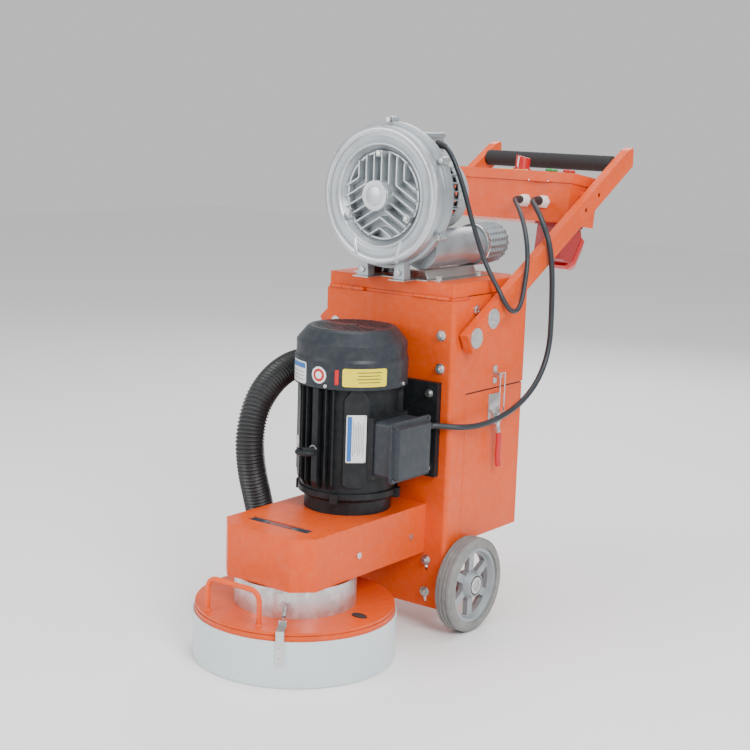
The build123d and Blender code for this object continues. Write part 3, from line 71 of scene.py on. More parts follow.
# ------------------------------------------------------------------ materials
class Shader:
    """A Principled material with a few node shortcuts. Every material's noise is shifted by its own seed."""

    count = 0

    def __init__(self, name):
        Shader.count += 1
        self.material = bpy.data.materials.new(name)
        self.material.use_nodes = True
        self.tree = self.material.node_tree
        self.main = self.tree.nodes["Principled BSDF"]
        coordinates = self.tree.nodes.new("ShaderNodeTexCoord")
        self.place = self.tree.nodes.new("ShaderNodeMapping")
        self.place.inputs["Location"].default_value = (Shader.count * 1.7, Shader.count * 0.9,
                                                       Shader.count * 0.4)
        self.link(coordinates.outputs["Object"], self.place.inputs["Vector"])
        self.normal = None

    def link(self, source, target):
        self.tree.links.new(source, target)

    def node(self, kind, **values):
        made = self.tree.nodes.new(kind)
        for key, value in values.items():
            setattr(made, key, value)
        return made

    def noise(self, scale, detail=4.0, stretch=None, roughness=0.55):
        made = self.node("ShaderNodeTexNoise")
        made.inputs["Scale"].default_value = scale
        made.inputs["Detail"].default_value = detail
        made.inputs["Roughness"].default_value = roughness
        source = self.place.outputs["Vector"]
        if stretch:
            squeeze = self.node("ShaderNodeMapping")
            squeeze.inputs["Scale"].default_value = stretch
            self.link(source, squeeze.inputs["Vector"])
            source = squeeze.outputs["Vector"]
        self.link(source, made.inputs["Vector"])
        return made.outputs["Fac"]

    def cells(self, scale):
        made = self.node("ShaderNodeTexVoronoi")
        made.inputs["Scale"].default_value = scale
        self.link(self.place.outputs["Vector"], made.inputs["Vector"])
        return made

    def spread(self, source, low, high, start=0.3, end=0.7):
        made = self.node("ShaderNodeMapRange")
        for key, value in zip(("From Min", "From Max", "To Min", "To Max"), (start, end, low, high)):
            made.inputs[key].default_value = value
        self.link(source, made.inputs["Value"])
        return made.outputs["Result"]

    def math(self, kind, a, b):
        made = self.node("ShaderNodeMath", operation=kind)
        for socket, value in zip(made.inputs, (a, b)):
            if isinstance(value, (int, float)):
                socket.default_value = value
            else:
                self.link(value, socket)
        return made.outputs["Value"]

    def mix(self, factor, a, b):
        made = self.node("ShaderNodeMix", data_type="RGBA")
        if isinstance(factor, (int, float)):
            made.inputs["Factor"].default_value = factor
        else:
            self.link(factor, made.inputs["Factor"])
        for key, value in (("A", a), ("B", b)):
            socket = [s for s in made.inputs if s.name == key and s.type == "RGBA"][0]
            if isinstance(value, (tuple, list)):
                socket.default_value = (*value[:3], 1.0)
            else:
                self.link(value, socket)
        return [s for s in made.outputs if s.type == "RGBA"][0]

    def rounded(self, radius):
        """Softens edges of the solid and returns a mask of how near an edge a point is."""
        bevel = self.node("ShaderNodeBevel", samples=4)
        bevel.inputs["Radius"].default_value = radius
        self.normal = bevel.outputs["Normal"]
        geometry = self.node("ShaderNodeNewGeometry")
        product = self.node("ShaderNodeVectorMath", operation="DOT_PRODUCT")
        self.link(bevel.outputs["Normal"], product.inputs[0])
        self.link(geometry.outputs["Normal"], product.inputs[1])
        return self.spread(product.outputs["Value"], 1.0, 0.0, 0.80, 0.985)

    def bump(self, source, strength, distance):
        made = self.node("ShaderNodeBump")
        made.inputs["Strength"].default_value = strength
        made.inputs["Distance"].default_value = distance
        self.link(source, made.inputs["Height"])
        if self.normal is not None:
            self.link(self.normal, made.inputs["Normal"])
        self.normal = made.outputs["Normal"]

    def done(self, color, rough, metal=0.0, **extra):
        for key, value in (("Base Color", color), ("Roughness", rough), ("Metallic", metal)):
            if isinstance(value, (int, float)):
                self.main.inputs[key].default_value = value
            elif isinstance(value, (tuple, list)):
                self.main.inputs[key].default_value = (*value[:3], 1.0)
            else:
                self.link(value, self.main.inputs[key])
        for key, value in extra.items():
            self.main.inputs[key.replace("_", " ")].default_value = value
        if self.normal is not None:
            self.link(self.normal, self.main.inputs["Normal"])
        return self.material


def tone(color, factor):
    return tuple(min(1.0, channel * factor) for channel in color)


def paint(name, color, rough=0.36, chip=(0.30, 0.29, 0.28), chip_share=0.55, peel=0.10, dust=0.06,
          specular=0.30):
    """Powder coat or enamel: orange peel, faint dust, and edges worn through in places."""
    s = Shader(name)
    edge = s.rounded(0.0012)
    cloud = s.noise(5, 5)
    speck = s.noise(70, 6)
    body = s.mix(s.spread(cloud, 0, 1), tone(color, 0.90), tone(color, 1.07))
    body = s.mix(s.spread(speck, 0, dust, 0.45, 0.75), body, (0.55, 0.50, 0.45))
    worn = s.math("MULTIPLY", edge, s.spread(s.noise(38, 5), 0, 1, chip_share, chip_share + 0.10))
    body = s.mix(s.math("MULTIPLY", worn, 0.85), body, chip)
    s.bump(s.noise(520, 2), peel, 0.0006)
    roughness = s.math("ADD", s.spread(s.noise(24, 4), rough - 0.06, rough + 0.08),
                       s.math("MULTIPLY", worn, 0.15))
    return s.done(body, roughness, 0.0, Specular_IOR_Level=specular)


def metal(name, color, rough=0.3, grain=(1, 1, 1), grain_scale=160, grain_bump=0.10, stain=0.12,
          metallic=1.0):
    """Bare or plated metal with a grain, a few stains and softened edges."""
    s = Shader(name)
    edge = s.rounded(0.0007)
    stains = s.noise(11, 6)
    lines = s.noise(grain_scale, 4, grain)
    body = s.mix(s.spread(stains, 0, 1), tone(color, 1.0 - stain), tone(color, 1.0 + stain))
    body = s.mix(s.spread(lines, 0, 0.35), body, tone(color, 0.72))
    body = s.mix(s.math("MULTIPLY", edge, 0.25), body, tone(color, 1.25))
    s.bump(lines, grain_bump, 0.0004)
    roughness = s.math("ADD", s.spread(lines, rough - 0.06, rough + 0.10), s.spread(stains, -0.04, 0.06))
    return s.done(body, roughness, metallic)


def casting(name, color, rough=0.42, metallic=0.75, grain_bump=0.35):
    """Die-cast or sand-cast metal: fine pitted skin, darker in patches."""
    s = Shader(name)
    edge = s.rounded(0.0014)
    pits = s.cells(520).outputs["Distance"]
    patches = s.noise(16, 6)
    body = s.mix(s.spread(patches, 0, 1), tone(color, 0.86), tone(color, 1.08))
    body = s.mix(s.spread(pits, 0.25, 0.0, 0.0, 0.5), body, tone(color, 0.6))
    body = s.mix(s.math("MULTIPLY", edge, 0.35), body, tone(color, 1.3))
    s.bump(s.math("ADD", pits, s.noise(240, 4)), grain_bump, 0.0003)
    return s.done(body, s.spread(patches, rough - 0.07, rough + 0.09), metallic)


def galvanised(name):
    """Zinc spangle: flat crystals of slightly different grey."""
    s = Shader(name)
    s.rounded(0.001)
    crystals = s.cells(75)
    value = s.node("ShaderNodeSeparateColor")
    s.link(crystals.outputs["Color"], value.inputs["Color"])
    body = s.mix(value.outputs["Red"], (0.55, 0.56, 0.58), (0.74, 0.75, 0.77))
    body = s.mix(s.spread(s.noise(9, 5), 0, 0.30), body, (0.46, 0.46, 0.46))
    s.bump(s.noise(60, 5), 0.15, 0.0010)
    return s.done(body, s.spread(value.outputs["Green"], 0.30, 0.46, 0, 1), 0.85)


def rubber(name, color, rough=0.62, grain=320, bumpiness=0.25, scuff=0.18):
    s = Shader(name)
    edge = s.rounded(0.0010)
    patches = s.noise(14, 6)
    body = s.mix(s.spread(patches, 0, 1), tone(color, 0.82), tone(color, 1.22))
    body = s.mix(s.spread(s.noise(55, 6), 0, scuff, 0.5, 0.72), body, tone(color, 2.2))
    body = s.mix(s.math("MULTIPLY", edge, 0.2), body, tone(color, 1.8))
    s.bump(s.noise(grain, 4), bumpiness, 0.0005)
    return s.done(body, s.spread(patches, rough - 0.08, rough + 0.10), 0.0)


def plastic(name, color, rough=0.34, scuff=0.06, moulded=0.08, **extra):
    """Moulded plastic: a fine skin, hairline scuffs and slightly uneven gloss."""
    s = Shader(name)
    s.rounded(0.0010)
    patches = s.noise(20, 5)
    body = s.mix(s.spread(patches, 0, 1), tone(color, 0.93), tone(color, 1.06))
    body = s.mix(s.spread(s.noise(130, 5, (1, 6, 1)), 0, scuff, 0.55, 0.75), body, (0.7, 0.7, 0.68))
    s.bump(s.noise(700, 2), moulded, 0.0003)
    return s.done(body, s.spread(patches, rough - 0.05, rough + 0.08), 0.0, **extra)


ORANGE = (0.74, 0.078, 0.003)
SLATE = (0.012, 0.015, 0.018)
ZINC = (0.66, 0.67, 0.67)
CAST = (0.60, 0.63, 0.65)

orange = paint("orange_powder_coat", ORANGE)
orange_rod = paint("orange_rod_paint", tone(ORANGE, 1.05), chip_share=0.50)
slate = paint("slate_motor_enamel", tone(SLATE, 0.85), 0.46, (0.10, 0.10, 0.10), 0.62, 0.22, 0.02, 0.25)
slate_cowl = paint(
    "slate_cowl_enamel", (0.020, 0.026, 0.033), 0.40, (0.16, 0.16, 0.16), 0.62, 0.10, 0.03, 0.30
)
slate_box = paint(
    "slate_terminal_enamel", (0.026, 0.033, 0.042), 0.42, (0.16, 0.16, 0.16), 0.60, 0.30, 0.03, 0.35
)
zinc = metal("zinc_plate", ZINC, 0.30, grain_scale=220)
bright_steel = metal("bright_steel", (0.62, 0.62, 0.63), 0.24, (1, 1, 8), 120)
turned_steel = metal("turned_steel", (0.50, 0.50, 0.51), 0.34, (1, 1, 12), 90, 0.15)
dull_zinc = metal("dull_zinc", (0.56, 0.57, 0.55), 0.36, stain=0.16)
wire_steel = metal("spring_wire", (0.45, 0.45, 0.46), 0.30)
blower_cast = casting("blower_aluminium", (0.40, 0.435, 0.46), 0.38)
guard_cast = casting("guard_aluminium", (0.58, 0.61, 0.63), 0.34)
hub_cast = casting("hub_grey", (0.34, 0.37, 0.39), 0.42, 0.35)
disc_iron = casting("disc_iron", (0.17, 0.17, 0.18), 0.55, 0.8)
segment_metal = casting("diamond_bond", (0.34, 0.29, 0.22), 0.7, 0.5, 0.8)
neck_zinc = galvanised("galvanised_neck")
tyre_grey = rubber("grey_tyre", (0.20, 0.20, 0.195), 0.72, 200, 0.45, 0.22)
black_rubber = rubber("black_rubber", (0.022, 0.022, 0.023))
cable_sheath = rubber("cable_sheath", (0.018, 0.024, 0.030), 0.42, 420, 0.10, 0.08)
foam_black = rubber("black_foam", (0.020, 0.020, 0.022), 0.85, 900, 0.9, 0.10)
hose_black = rubber("hose_plastic", (0.016, 0.017, 0.018), 0.38, 300, 0.10, 0.10)
white_nylon = plastic("white_nylon", (0.80, 0.80, 0.77), 0.35, 0.05)
red_plastic = plastic("red_plastic", (0.50, 0.006, 0.008), 0.26, 0.02)
red_grip = plastic("red_vinyl", (0.55, 0.006, 0.010), 0.40, 0.03)
dark_red = plastic("dark_red_plastic", (0.34, 0.006, 0.008), 0.34, 0.02)
green_plastic = plastic("green_plastic", (0.01, 0.30, 0.05), 0.28, 0.02)
yellow_plastic = plastic("yellow_plate", (0.88, 0.58, 0.005), 0.34, 0.02)
black_plastic = plastic("black_plastic", (0.020, 0.020, 0.021), 0.38)
grey_plastic = plastic("grey_plastic", (0.30, 0.33, 0.34), 0.42)
smoked = plastic("smoked_window", (0.030, 0.045, 0.060), 0.16, 0.12)
tinted = plastic("red_window", (0.16, 0.015, 0.015), 0.18, 0.12)
label_white = plastic("label_white", (0.78, 0.79, 0.80), 0.32, 0.10)
label_blue = plastic("label_blue", (0.015, 0.13, 0.42), 0.32, 0.02)
label_yellow = plastic("label_yellow", (0.88, 0.72, 0.01), 0.30, 0.02)
label_red = plastic("label_red", (0.55, 0.008, 0.012), 0.30, 0.02)
# matte near-black as painted shade, used on a plate where a slot's dark recess should be
painted_shade_black = plastic("painted_shade_black", (0.004, 0.004, 0.005), 0.8, 0.0)
seal_rubber = rubber("seal_rubber", (0.030, 0.030, 0.030), 0.7)
belt_rubber = rubber("belt_rubber", (0.014, 0.014, 0.015), 0.75)


def skirt_plastic():
    """Milky polyethylene: light comes through it, and the foot is scuffed grey."""
    s = Shader("milky_polyethylene")
    s.rounded(0.001)
    cloud = s.noise(7, 5)
    body = s.mix(s.spread(cloud, 0, 1), (0.84, 0.85, 0.86), (0.93, 0.93, 0.93))
    scratches = s.noise(90, 5, (1, 1, 9))
    body = s.mix(s.spread(scratches, 0, 0.16, 0.5, 0.75), body, (0.60, 0.60, 0.58))
    s.bump(scratches, 0.08, 0.0006)
    return s.done(body, s.spread(cloud, 0.30, 0.44), 0.0, Subsurface_Weight=0.35, Subsurface_Scale=0.02,
                  Transmission_Weight=0.22, IOR=1.5)


def pleated_paper():
    s = Shader("filter_paper")
    fibre = s.noise(260, 6, (1, 1, 0.3))
    body = s.mix(s.spread(fibre, 0, 1), (0.70, 0.68, 0.60), (0.85, 0.83, 0.76))
    body = s.mix(s.spread(s.noise(12, 5), 0, 0.5), body, (0.45, 0.42, 0.37))
    s.bump(fibre, 0.35, 0.0006)
    return s.done(body, 0.88, 0.0)


def wire_cloth():
    """Woven steel cloth: two crossed sets of fine wires."""
    s = Shader("wire_cloth")
    waves = []
    for direction in ("X", "Z"):
        wave = s.node("ShaderNodeTexWave", wave_type="BANDS", bands_direction=direction)
        wave.inputs["Scale"].default_value = 210
        wave.inputs["Distortion"].default_value = 0.6
        s.link(s.place.outputs["Vector"], wave.inputs["Vector"])
        waves.append(wave.outputs["Fac"])
    weave = s.math("MULTIPLY", waves[0], waves[1])
    body = s.mix(s.spread(weave, 0, 1, 0.0, 0.8), (0.12, 0.12, 0.12), (0.52, 0.52, 0.51))
    body = s.mix(s.spread(s.noise(30, 5), 0, 0.5), body, (0.20, 0.20, 0.19))
    s.bump(weave, 0.8, 0.0008)
    return s.done(body, s.spread(s.noise(40, 4), 0.38, 0.58), 0.85)


silencer_foil = casting("silencer_foil", (0.22, 0.24, 0.26), 0.45, 0.45, 0.5)
milky = skirt_plastic()
filter_paper = pleated_paper()
gauze = wire_cloth()

NODE_MATERIALS = {
    orange: "shroud_cover belt_box chassis filter_housing "
            "dust_bin tank_lid handle_bars control_box control_lid",
    orange_rod: "lift_handle lid_hinges",
    slate: "motor_frame motor_flange motor_mount",
    slate_cowl: "motor_fan_cowl",
    slate_box: "motor_terminal_box",
    milky: "splash_skirt",
    zinc: "skirt_strips latch_hooks latch_bases latch_lever_left latch_lever_right machine_bolts",
    dull_zinc: "blower_bracket blower_bolts",
    bright_steel: "latch_loop_left latch_loop_right",
    neck_zinc: "neck_tube",
    turned_steel: "spindle_bearings spindle_shaft motor_rotor axle",
    disc_iron: "grinding_disc",
    segment_metal: "diamond_segments",
    belt_rubber: "drive_belts",
    tyre_grey: "tyre_left tyre_right",
    hub_cast: "wheel_hub_left wheel_hub_right",
    filter_paper: "filter_cartridge",
    blower_cast: "blower_front_housing blower_rear_housing blower_impeller blower_motor_frame "
    "blower_terminal_box blower_pipes",
    guard_cast: "blower_guard",
    grey_plastic: "blower_fan_cowl",
    gauze: "muffler",
    foam_black: "foam_grip",
    red_plastic: "switch_knob stop_button inlet_flap",
    green_plastic: "start_button",
    white_nylon: "cable_glands",
    dark_red: "inlet_socket",
    wire_steel: "skirt_springs",
    cable_sheath: "motor_cable blower_cable",
    hose_black: "dust_hose",
}
for material, names in NODE_MATERIALS.items():
    for name in names.split():
        mesh = nodes[name].data
        mesh.materials.clear()
        mesh.materials.append(material)


# ------------------------------------------------------------------ mesh helpers
def obj(name, mesh, material, body, smooth=True):
    """Puts a mesh in the scene with its material, riding on a body."""
    made = bpy.data.objects.new(name, mesh)
    bpy.context.scene.collection.objects.link(made)
    if material is not None:
        mesh.materials.append(material)
    if smooth:
        mesh.polygons.foreach_set("use_smooth", [True] * len(mesh.polygons))
        made.modifiers.new("corners", "EDGE_SPLIT").split_angle = radians(38)
    if body:
        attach(made, body)
    return made


def mesh_from(name, verts, faces):
    mesh = bpy.data.meshes.new(name)
    mesh.from_pydata([tuple(v) for v in verts], [], faces)
    work = bmesh.new()
    work.from_mesh(mesh)
    bmesh.ops.remove_doubles(work, verts=work.verts, dist=1e-6)
    bmesh.ops.recalc_face_normals(work, faces=work.faces)
    work.to_mesh(mesh)
    work.free()
    return mesh


def across(direction):
    """Two unit vectors square to a direction and to each other."""
    d = direction.normalized()
    side = Z.cross(d) if abs(d.z) < 0.9 else X.cross(d)
    side.normalize()
    return side, d.cross(side)


def lathe(profile, origin, direction, segments=48, closed=True):
    """Vertices and faces of a profile of (radius, height) turned about a direction."""
    d = direction.normalized()
    u, v = across(d)
    verts, faces = [], []
    for step in range(segments):
        a = 2 * pi * step / segments
        ray = u * cos(a) + v * sin(a)
        verts += [origin + ray * r + d * h for r, h in profile]
    n = len(profile)
    last = n if closed else n - 1
    for step in range(segments):
        here, there = step * n, (step + 1) % segments * n
        for k in range(last):
            m = (k + 1) % n
            faces.append((here + k, here + m, there + m, there + k))
    return verts, faces


def turned(name, profile, origin, direction, material, body, segments=48):
    """A closed turned piece. The profile starts and ends on the axis."""
    verts, faces = lathe(profile, Vector(origin), Vector(direction), segments, closed=False)
    return obj(name, mesh_from(name, verts, faces), material, body)


def rolled(name, profile, origin, direction, material, body, segments=48):
    """A turned ring: the profile is a closed loop that stays off the axis."""
    verts, faces = lathe(profile, Vector(origin), Vector(direction), segments)
    return obj(name, mesh_from(name, verts, faces), material, body)


def slab_parts(outline, thickness, origin, u, v, bevel=0.0):
    """A plate: outline points in the plane of u and v, thickened along u x v, its top edge bevelled."""
    n = u.cross(v).normalized()
    work = bmesh.new()
    low = [work.verts.new(origin + u * x + v * y) for x, y in outline]
    base = work.faces.new(low)
    top = bmesh.ops.extrude_face_region(work, geom=[base])
    moved = [e for e in top["geom"] if isinstance(e, bmesh.types.BMVert)]
    bmesh.ops.translate(work, verts=moved, vec=n * thickness)
    if bevel:
        rim = {e for e in work.edges if all(x in moved for x in e.verts)}
        bmesh.ops.bevel(work, geom=list(rim), offset=bevel, segments=3, profile=0.6, affect="EDGES")
    bmesh.ops.recalc_face_normals(work, faces=work.faces)
    return work


def slab(name, outline, thickness, origin, u, v, material, body, bevel=0.0):
    work = slab_parts(outline, thickness, Vector(origin), Vector(u), Vector(v), bevel)
    mesh = bpy.data.meshes.new(name)
    work.to_mesh(mesh)
    work.free()
    return obj(name, mesh, material, body)


def rounded_box(width, height, radius, steps=6):
    """Outline of a rectangle with round corners, about the origin."""
    points = []
    for cx, cy, start in ((1, 1, 0), (-1, 1, 90), (-1, -1, 180), (1, -1, 270)):
        for step in range(steps + 1):
            a = radians(start + 90 * step / steps)
            x = cx * (width / 2 - radius) + radius * cos(a)
            points.append((x, cy * (height / 2 - radius) + radius * sin(a)))
    return points


def ring_points(radius, count=32, squash=1.0):
    return [(radius * cos(2 * pi * k / count), squash * radius * sin(2 * pi * k / count))
            for k in range(count)]


def swept(name, path, section, material, body, start_side=None):
    """A tube of any section along points.

    section(k, share) gives the outline at point k, which is that share of the way along.
    """
    path = [Vector(p) for p in path]
    tangents = []
    for k in range(len(path)):
        a, b = path[max(k - 1, 0)], path[min(k + 1, len(path) - 1)]
        tangents.append((b - a).normalized())
    side = Vector(start_side) if start_side else across(tangents[0])[0]
    verts, faces, count = [], [], None
    for k, (p, t) in enumerate(zip(path, tangents)):
        side = (side - t * side.dot(t)).normalized()
        up = t.cross(side)
        outline = section(k, k / (len(path) - 1))
        count = len(outline)
        verts += [p + side * x + up * y for x, y in outline]
    for k in range(len(path) - 1):
        for m in range(count):
            a, b = k * count + m, k * count + (m + 1) % count
            faces.append((a, b, b + count, a + count))
    faces.append(tuple(range(count)))
    faces.append(tuple(range(len(verts) - count, len(verts))))
    return obj(name, mesh_from(name, verts, faces), material, body)


def hexagon(radius):
    return [(radius * cos(radians(60 * k + 30)), radius * sin(radians(60 * k + 30))) for k in range(6)]


def screw(name, origin, direction, radius, body, material=None, height=None):
    """A domed screw head with a round socket."""
    d = Vector(direction).normalized()
    height = height or radius * 0.8
    profile = [(0, height * 0.45), (radius * 0.42, height * 0.45), (radius * 0.46, height)]
    profile += [(radius * 0.80, height * 0.92), (radius, height * 0.45), (radius, 0), (0, 0)]
    return turned(name, profile, Vector(origin), d, material or zinc, body, 24)


def bent_label(name, axis, radius, angle, z, width, height, material, body, thickness=0.0004, corner=0.004):
    """A sticker that follows a vertical cylinder at a plan angle from -Y towards +X."""
    outline = rounded_box(width, height, corner, 12)
    grid = 24
    verts, faces = [], []
    for depth in (0.0001, thickness):
        for row in range(grid + 1):
            y = -height / 2 + height * row / grid
            reach = max((abs(px) for px, py in outline if abs(py) >= abs(y) - 1e-9), default=width / 2)
            for column in range(grid + 1):
                x = -reach + 2 * reach * column / grid
                a = radians(angle) + x / radius
                r = radius + depth
                verts.append(Vector((axis[0] + r * sin(a), axis[1] - r * cos(a), z + y)))
    size = (grid + 1) ** 2
    for row in range(grid):
        for column in range(grid):
            a = row * (grid + 1) + column
            quad = (a, a + 1, a + grid + 2, a + grid + 1)
            faces.append(quad)
            faces.append(tuple(size + q for q in reversed(quad)))
    rim = list(range(grid + 1))
    rim += [r * (grid + 1) + grid for r in range(1, grid + 1)]
    rim += [grid * (grid + 1) + c for c in range(grid - 1, -1, -1)]
    rim += [r * (grid + 1) for r in range(grid - 1, 0, -1)]
    for a, b in zip(rim, rim[1:] + rim[:1]):
        faces.append((a, b, b + size, a + size))
    return obj(name, mesh_from(name, verts, faces), material, body)


# ------------------------------------------------------------------ cables and hose
def place(points):
    return [Vector((x * MM, HEAD_Y + y * MM, z * MM)) for x, y, z in points]


def spline(name, points, bevel, material):
    """A NURBS cord through its control points."""
    data = bpy.data.curves.new(name, "CURVE")
    data.dimensions = "3D"
    data.resolution_u = 12
    line = data.splines.new("NURBS")
    line.points.add(len(points) - 1)
    for point, spot in zip(line.points, points):
        point.co = (*spot, 1.0)
    line.order_u = 3
    line.use_endpoint_u = True
    data.bevel_depth = bevel
    data.bevel_resolution = 5
    data.use_fill_caps = True
    made = bpy.data.objects.new(name, data)
    bpy.context.scene.collection.objects.link(made)
    if material is not None:
        data.materials.append(material)
    return made


def follow(points, name="guide"):
    """Points along the route's NURBS spline."""
    guide = spline(name, points, 0.0, None)
    mesh = bpy.data.meshes.new_from_object(guide)
    spots = [v.co.copy() for v in mesh.vertices]
    bpy.data.objects.remove(guide)
    bpy.data.meshes.remove(mesh)
    return spots


def even(spots, step):
    """The same line with its points a step apart."""
    out, left = [spots[0]], step
    for a, b in zip(spots, spots[1:]):
        length = (b - a).length
        while length >= left and length > 0:
            a = a + (b - a) * (left / length)
            out.append(a)
            length = (b - a).length
            left = step
        left -= length
    if (out[-1] - spots[-1]).length > step * 0.3:
        out.append(spots[-1])
    else:
        out[-1] = spots[-1]
    return out


def run_length(spots):
    return sum((b - a).length for a, b in zip(spots, spots[1:]))


MOTOR_CABLE = place([
    (136, 226.2, 445), (136.3, 241, 445), (144, 254, 445), (159, 265, 444), (178, 280, 443),
    (189, 302, 441), (196, 334, 440), (200, 374, 442), (202.5, 420, 449), (202.8, 468, 460),
    (202, 514, 477), (201, 556, 503), (200.5, 588, 540), (200.5, 604, 584), (201, 604, 632),
    (201.5, 601, 682), (202.2, 596, 730), (202, 588, 772), (198, 582, 806), (182, 586, 836),
    (156, 608, 860), (124, 640, 876), (102, 664, 884), (93, 686, 886.2), (92, 709.1, 882.9),
])
BLOWER_CABLE = place([
    (46.2, 366, 1006), (62, 365.8, 1005.8), (80, 362, 994), (95, 363, 970), (108, 368, 936),
    (118, 376, 898), (126, 385, 858), (135, 396, 818), (146, 404, 780), (164, 407, 746),
    (187, 405, 716), (200.5, 410, 690), (205, 428, 670), (205, 456, 668), (202, 476, 688),
    (200, 488, 724), (198, 498, 762), (186, 513, 800), (160, 542, 834), (124, 584, 858),
    (86, 628, 876), (58, 660, 884), (44, 686, 886.2), (43, 709.1, 882.9),
])
DUST_HOSE = place([
    (-148, 72, 138.6), (-148, 71.5, 200), (-149.5, 54, 270), (-151, 31, 342), (-152, 24, 412),
    (-151.5, 44, 478), (-151, 92, 522), (-151, 148, 543), (-146, 190, 547.5), (-134, 226, 546.2),
    (-130.6, 258.4, 545.2),
])

motor_cable = spline("motor_cable_line", MOTOR_CABLE, 0.006, cable_sheath)
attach(motor_cable, "root")
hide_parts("motor_cable")
run_length(follow(MOTOR_CABLE))


def round_section(radius, count=20):
    outline = ring_points(radius, count)
    return lambda k, share: outline


blower_line = follow(BLOWER_CABLE)
blower_cable = swept("blower_cable_line", blower_line, round_section(0.005), cable_sheath, None,
                     start_side=(0, 0, 1))
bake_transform(blower_cable)
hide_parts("blower_cable")

# the dust hose: annular corrugations a few millimetres apart
RIB = 0.0072
hose_line = even(follow(DUST_HOSE), RIB / 6)


def hose_section(k, share):
    wave = 0.5 + 0.5 * cos(2 * pi * k / 6)
    edge = min(share, 1 - share)
    depth = 0.0034 if edge > 0.03 else 0.0006
    return ring_points(0.0298 - depth * (1 - wave), 40)


dust_hose = swept("dust_hose_tube", hose_line, hose_section, hose_black, "root", start_side=(1, 0, 0))
CUFF_POINTS = 20
for name, spots in (("hose_cuff_low", hose_line[:CUFF_POINTS]), ("hose_cuff_high", hose_line[-CUFF_POINTS:])):
    swept(name, spots, round_section(0.0306, 40), black_rubber, "root", start_side=(1, 0, 0))
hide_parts("dust_hose")

# ------------------------------------------------------------------ camera
CAMERA_YAW, CAMERA_PITCH, CAMERA_ROLL = radians(36.698), radians(10.233), radians(-1.931)
FOCAL_PX, IMAGE_PX, SENSOR = 1482.1, 750.0, 36.0

forward = Vector((-sin(CAMERA_YAW) * cos(CAMERA_PITCH), cos(CAMERA_YAW) * cos(CAMERA_PITCH),
                  -sin(CAMERA_PITCH)))
right = Vector((cos(CAMERA_YAW), sin(CAMERA_YAW), 0))
down = forward.cross(right)
rolled_right = right * cos(CAMERA_ROLL) + down * sin(CAMERA_ROLL)
rolled_down = down * cos(CAMERA_ROLL) - right * sin(CAMERA_ROLL)
camera_data = bpy.data.cameras.new("camera")
camera_data.sensor_width = SENSOR
camera_data.lens = FOCAL_PX / IMAGE_PX * SENSOR
camera_data.clip_end = 50
camera = bpy.data.objects.new("camera", camera_data)
rotation = Matrix((rolled_right, -rolled_down, -forward)).transposed()
camera.matrix_world = Matrix.Translation((1.8045, -2.1806 + HEAD_Y, 1.0767)) @ rotation.to_4x4()
bpy.context.scene.collection.objects.link(camera)
bpy.context.scene.camera = camera

# ------------------------------------------------------------------ grinding head
slab("cover_plug", ring_points(0.017, 32, 0.55), 0.003, (0.158, HEAD_Y + 0.004, 0.1085), X, Y, black_rubber,
     "root",
     0.0012)
for index, x in enumerate((-0.083, 0.049)):
    profile = [(0.0048, 0), (0.0085, 0), (0.0078, 0.0018), (0.0052, 0.0040)]
    rolled(f"lift_handle_weld_{index}", profile, (x, HEAD_Y - 0.165, 0.1085), Z, orange_rod, "root", 28)

SPRING_ANGLES = (32.0, 212.0)


def spring_wire():
    """The skirt's springs: a hook at each end and a coil between, in one mesh."""
    verts, faces = [], []
    wire, count, coil_radius, turns = 0.0008, 8, 0.0036, 15
    for angle in SPRING_ANGLES:
        a = radians(angle)
        ray = Vector((sin(a), -cos(a), 0))
        low = Vector((0, HEAD_Y, 0)) + ray * 0.1705 + Z * 0.1195
        high = Vector((0, HEAD_Y, 0)) + ray * 0.1262 + Z * 0.1412
        along = high - low
        length = along.length
        along.normalize()
        u, v = across(along)
        path = []
        for k in range(9):
            b = pi * k / 8
            path.append(low + Z * 0.0035 * cos(b) * 0.6 + ray * (0.0032 * sin(b)) + along * 0.001 * k)
        path.append(low + along * 0.0115)
        steps = turns * 12
        for k in range(steps + 1):
            b = 2 * pi * turns * k / steps
            travel = 0.0125 + (length - 0.023) * k / steps
            path.append(low + along * travel + (u * cos(b) + v * sin(b)) * coil_radius)
        path.append(high - along * 0.0085)
        for k in range(9):
            b = pi * k / 8
            path.append(high - along * 0.0045 * (1 - k / 8) + ray * 0.003 * sin(b) + Z * 0.003 * sin(b))
        base = len(verts)
        side = across((path[1] - path[0]).normalized())[0]
        for k, spot in enumerate(path):
            tangent = (path[min(k + 1, len(path) - 1)] - path[max(k - 1, 0)]).normalized()
            side = (side - tangent * side.dot(tangent)).normalized()
            up = tangent.cross(side)
            for m in range(count):
                b = 2 * pi * m / count
                verts.append(spot + side * wire * cos(b) + up * wire * sin(b))
        for k in range(len(path) - 1):
            for m in range(count):
                p, q = base + k * count + m, base + k * count + (m + 1) % count
                faces.append((p, q, q + count, p + count))
        faces.append(tuple(range(base, base + count)))
        faces.append(tuple(range(len(verts) - count, len(verts))))
    return mesh_from("skirt_spring_coils", verts, faces)


springs = obj("skirt_spring_coils", spring_wire(), wire_steel, None)
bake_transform(springs)
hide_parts("skirt_springs")

# ------------------------------------------------------------------ belt box window
SLOT_Y, WINDOW_Z = HEAD_Y - 0.051, 0.2687
for name, x, width, material in (
    ("belt_window_left", -0.0525, 0.044, smoked),
    ("belt_window_middle", 0.0, 0.060, tinted),
    ("belt_window_right", 0.0525, 0.044, smoked),
):
    slab(name, rounded_box(width, 0.0234, 0.0015), 0.0018, (x, SLOT_Y, WINDOW_Z), X, Y, material, "root",
         0.0005)

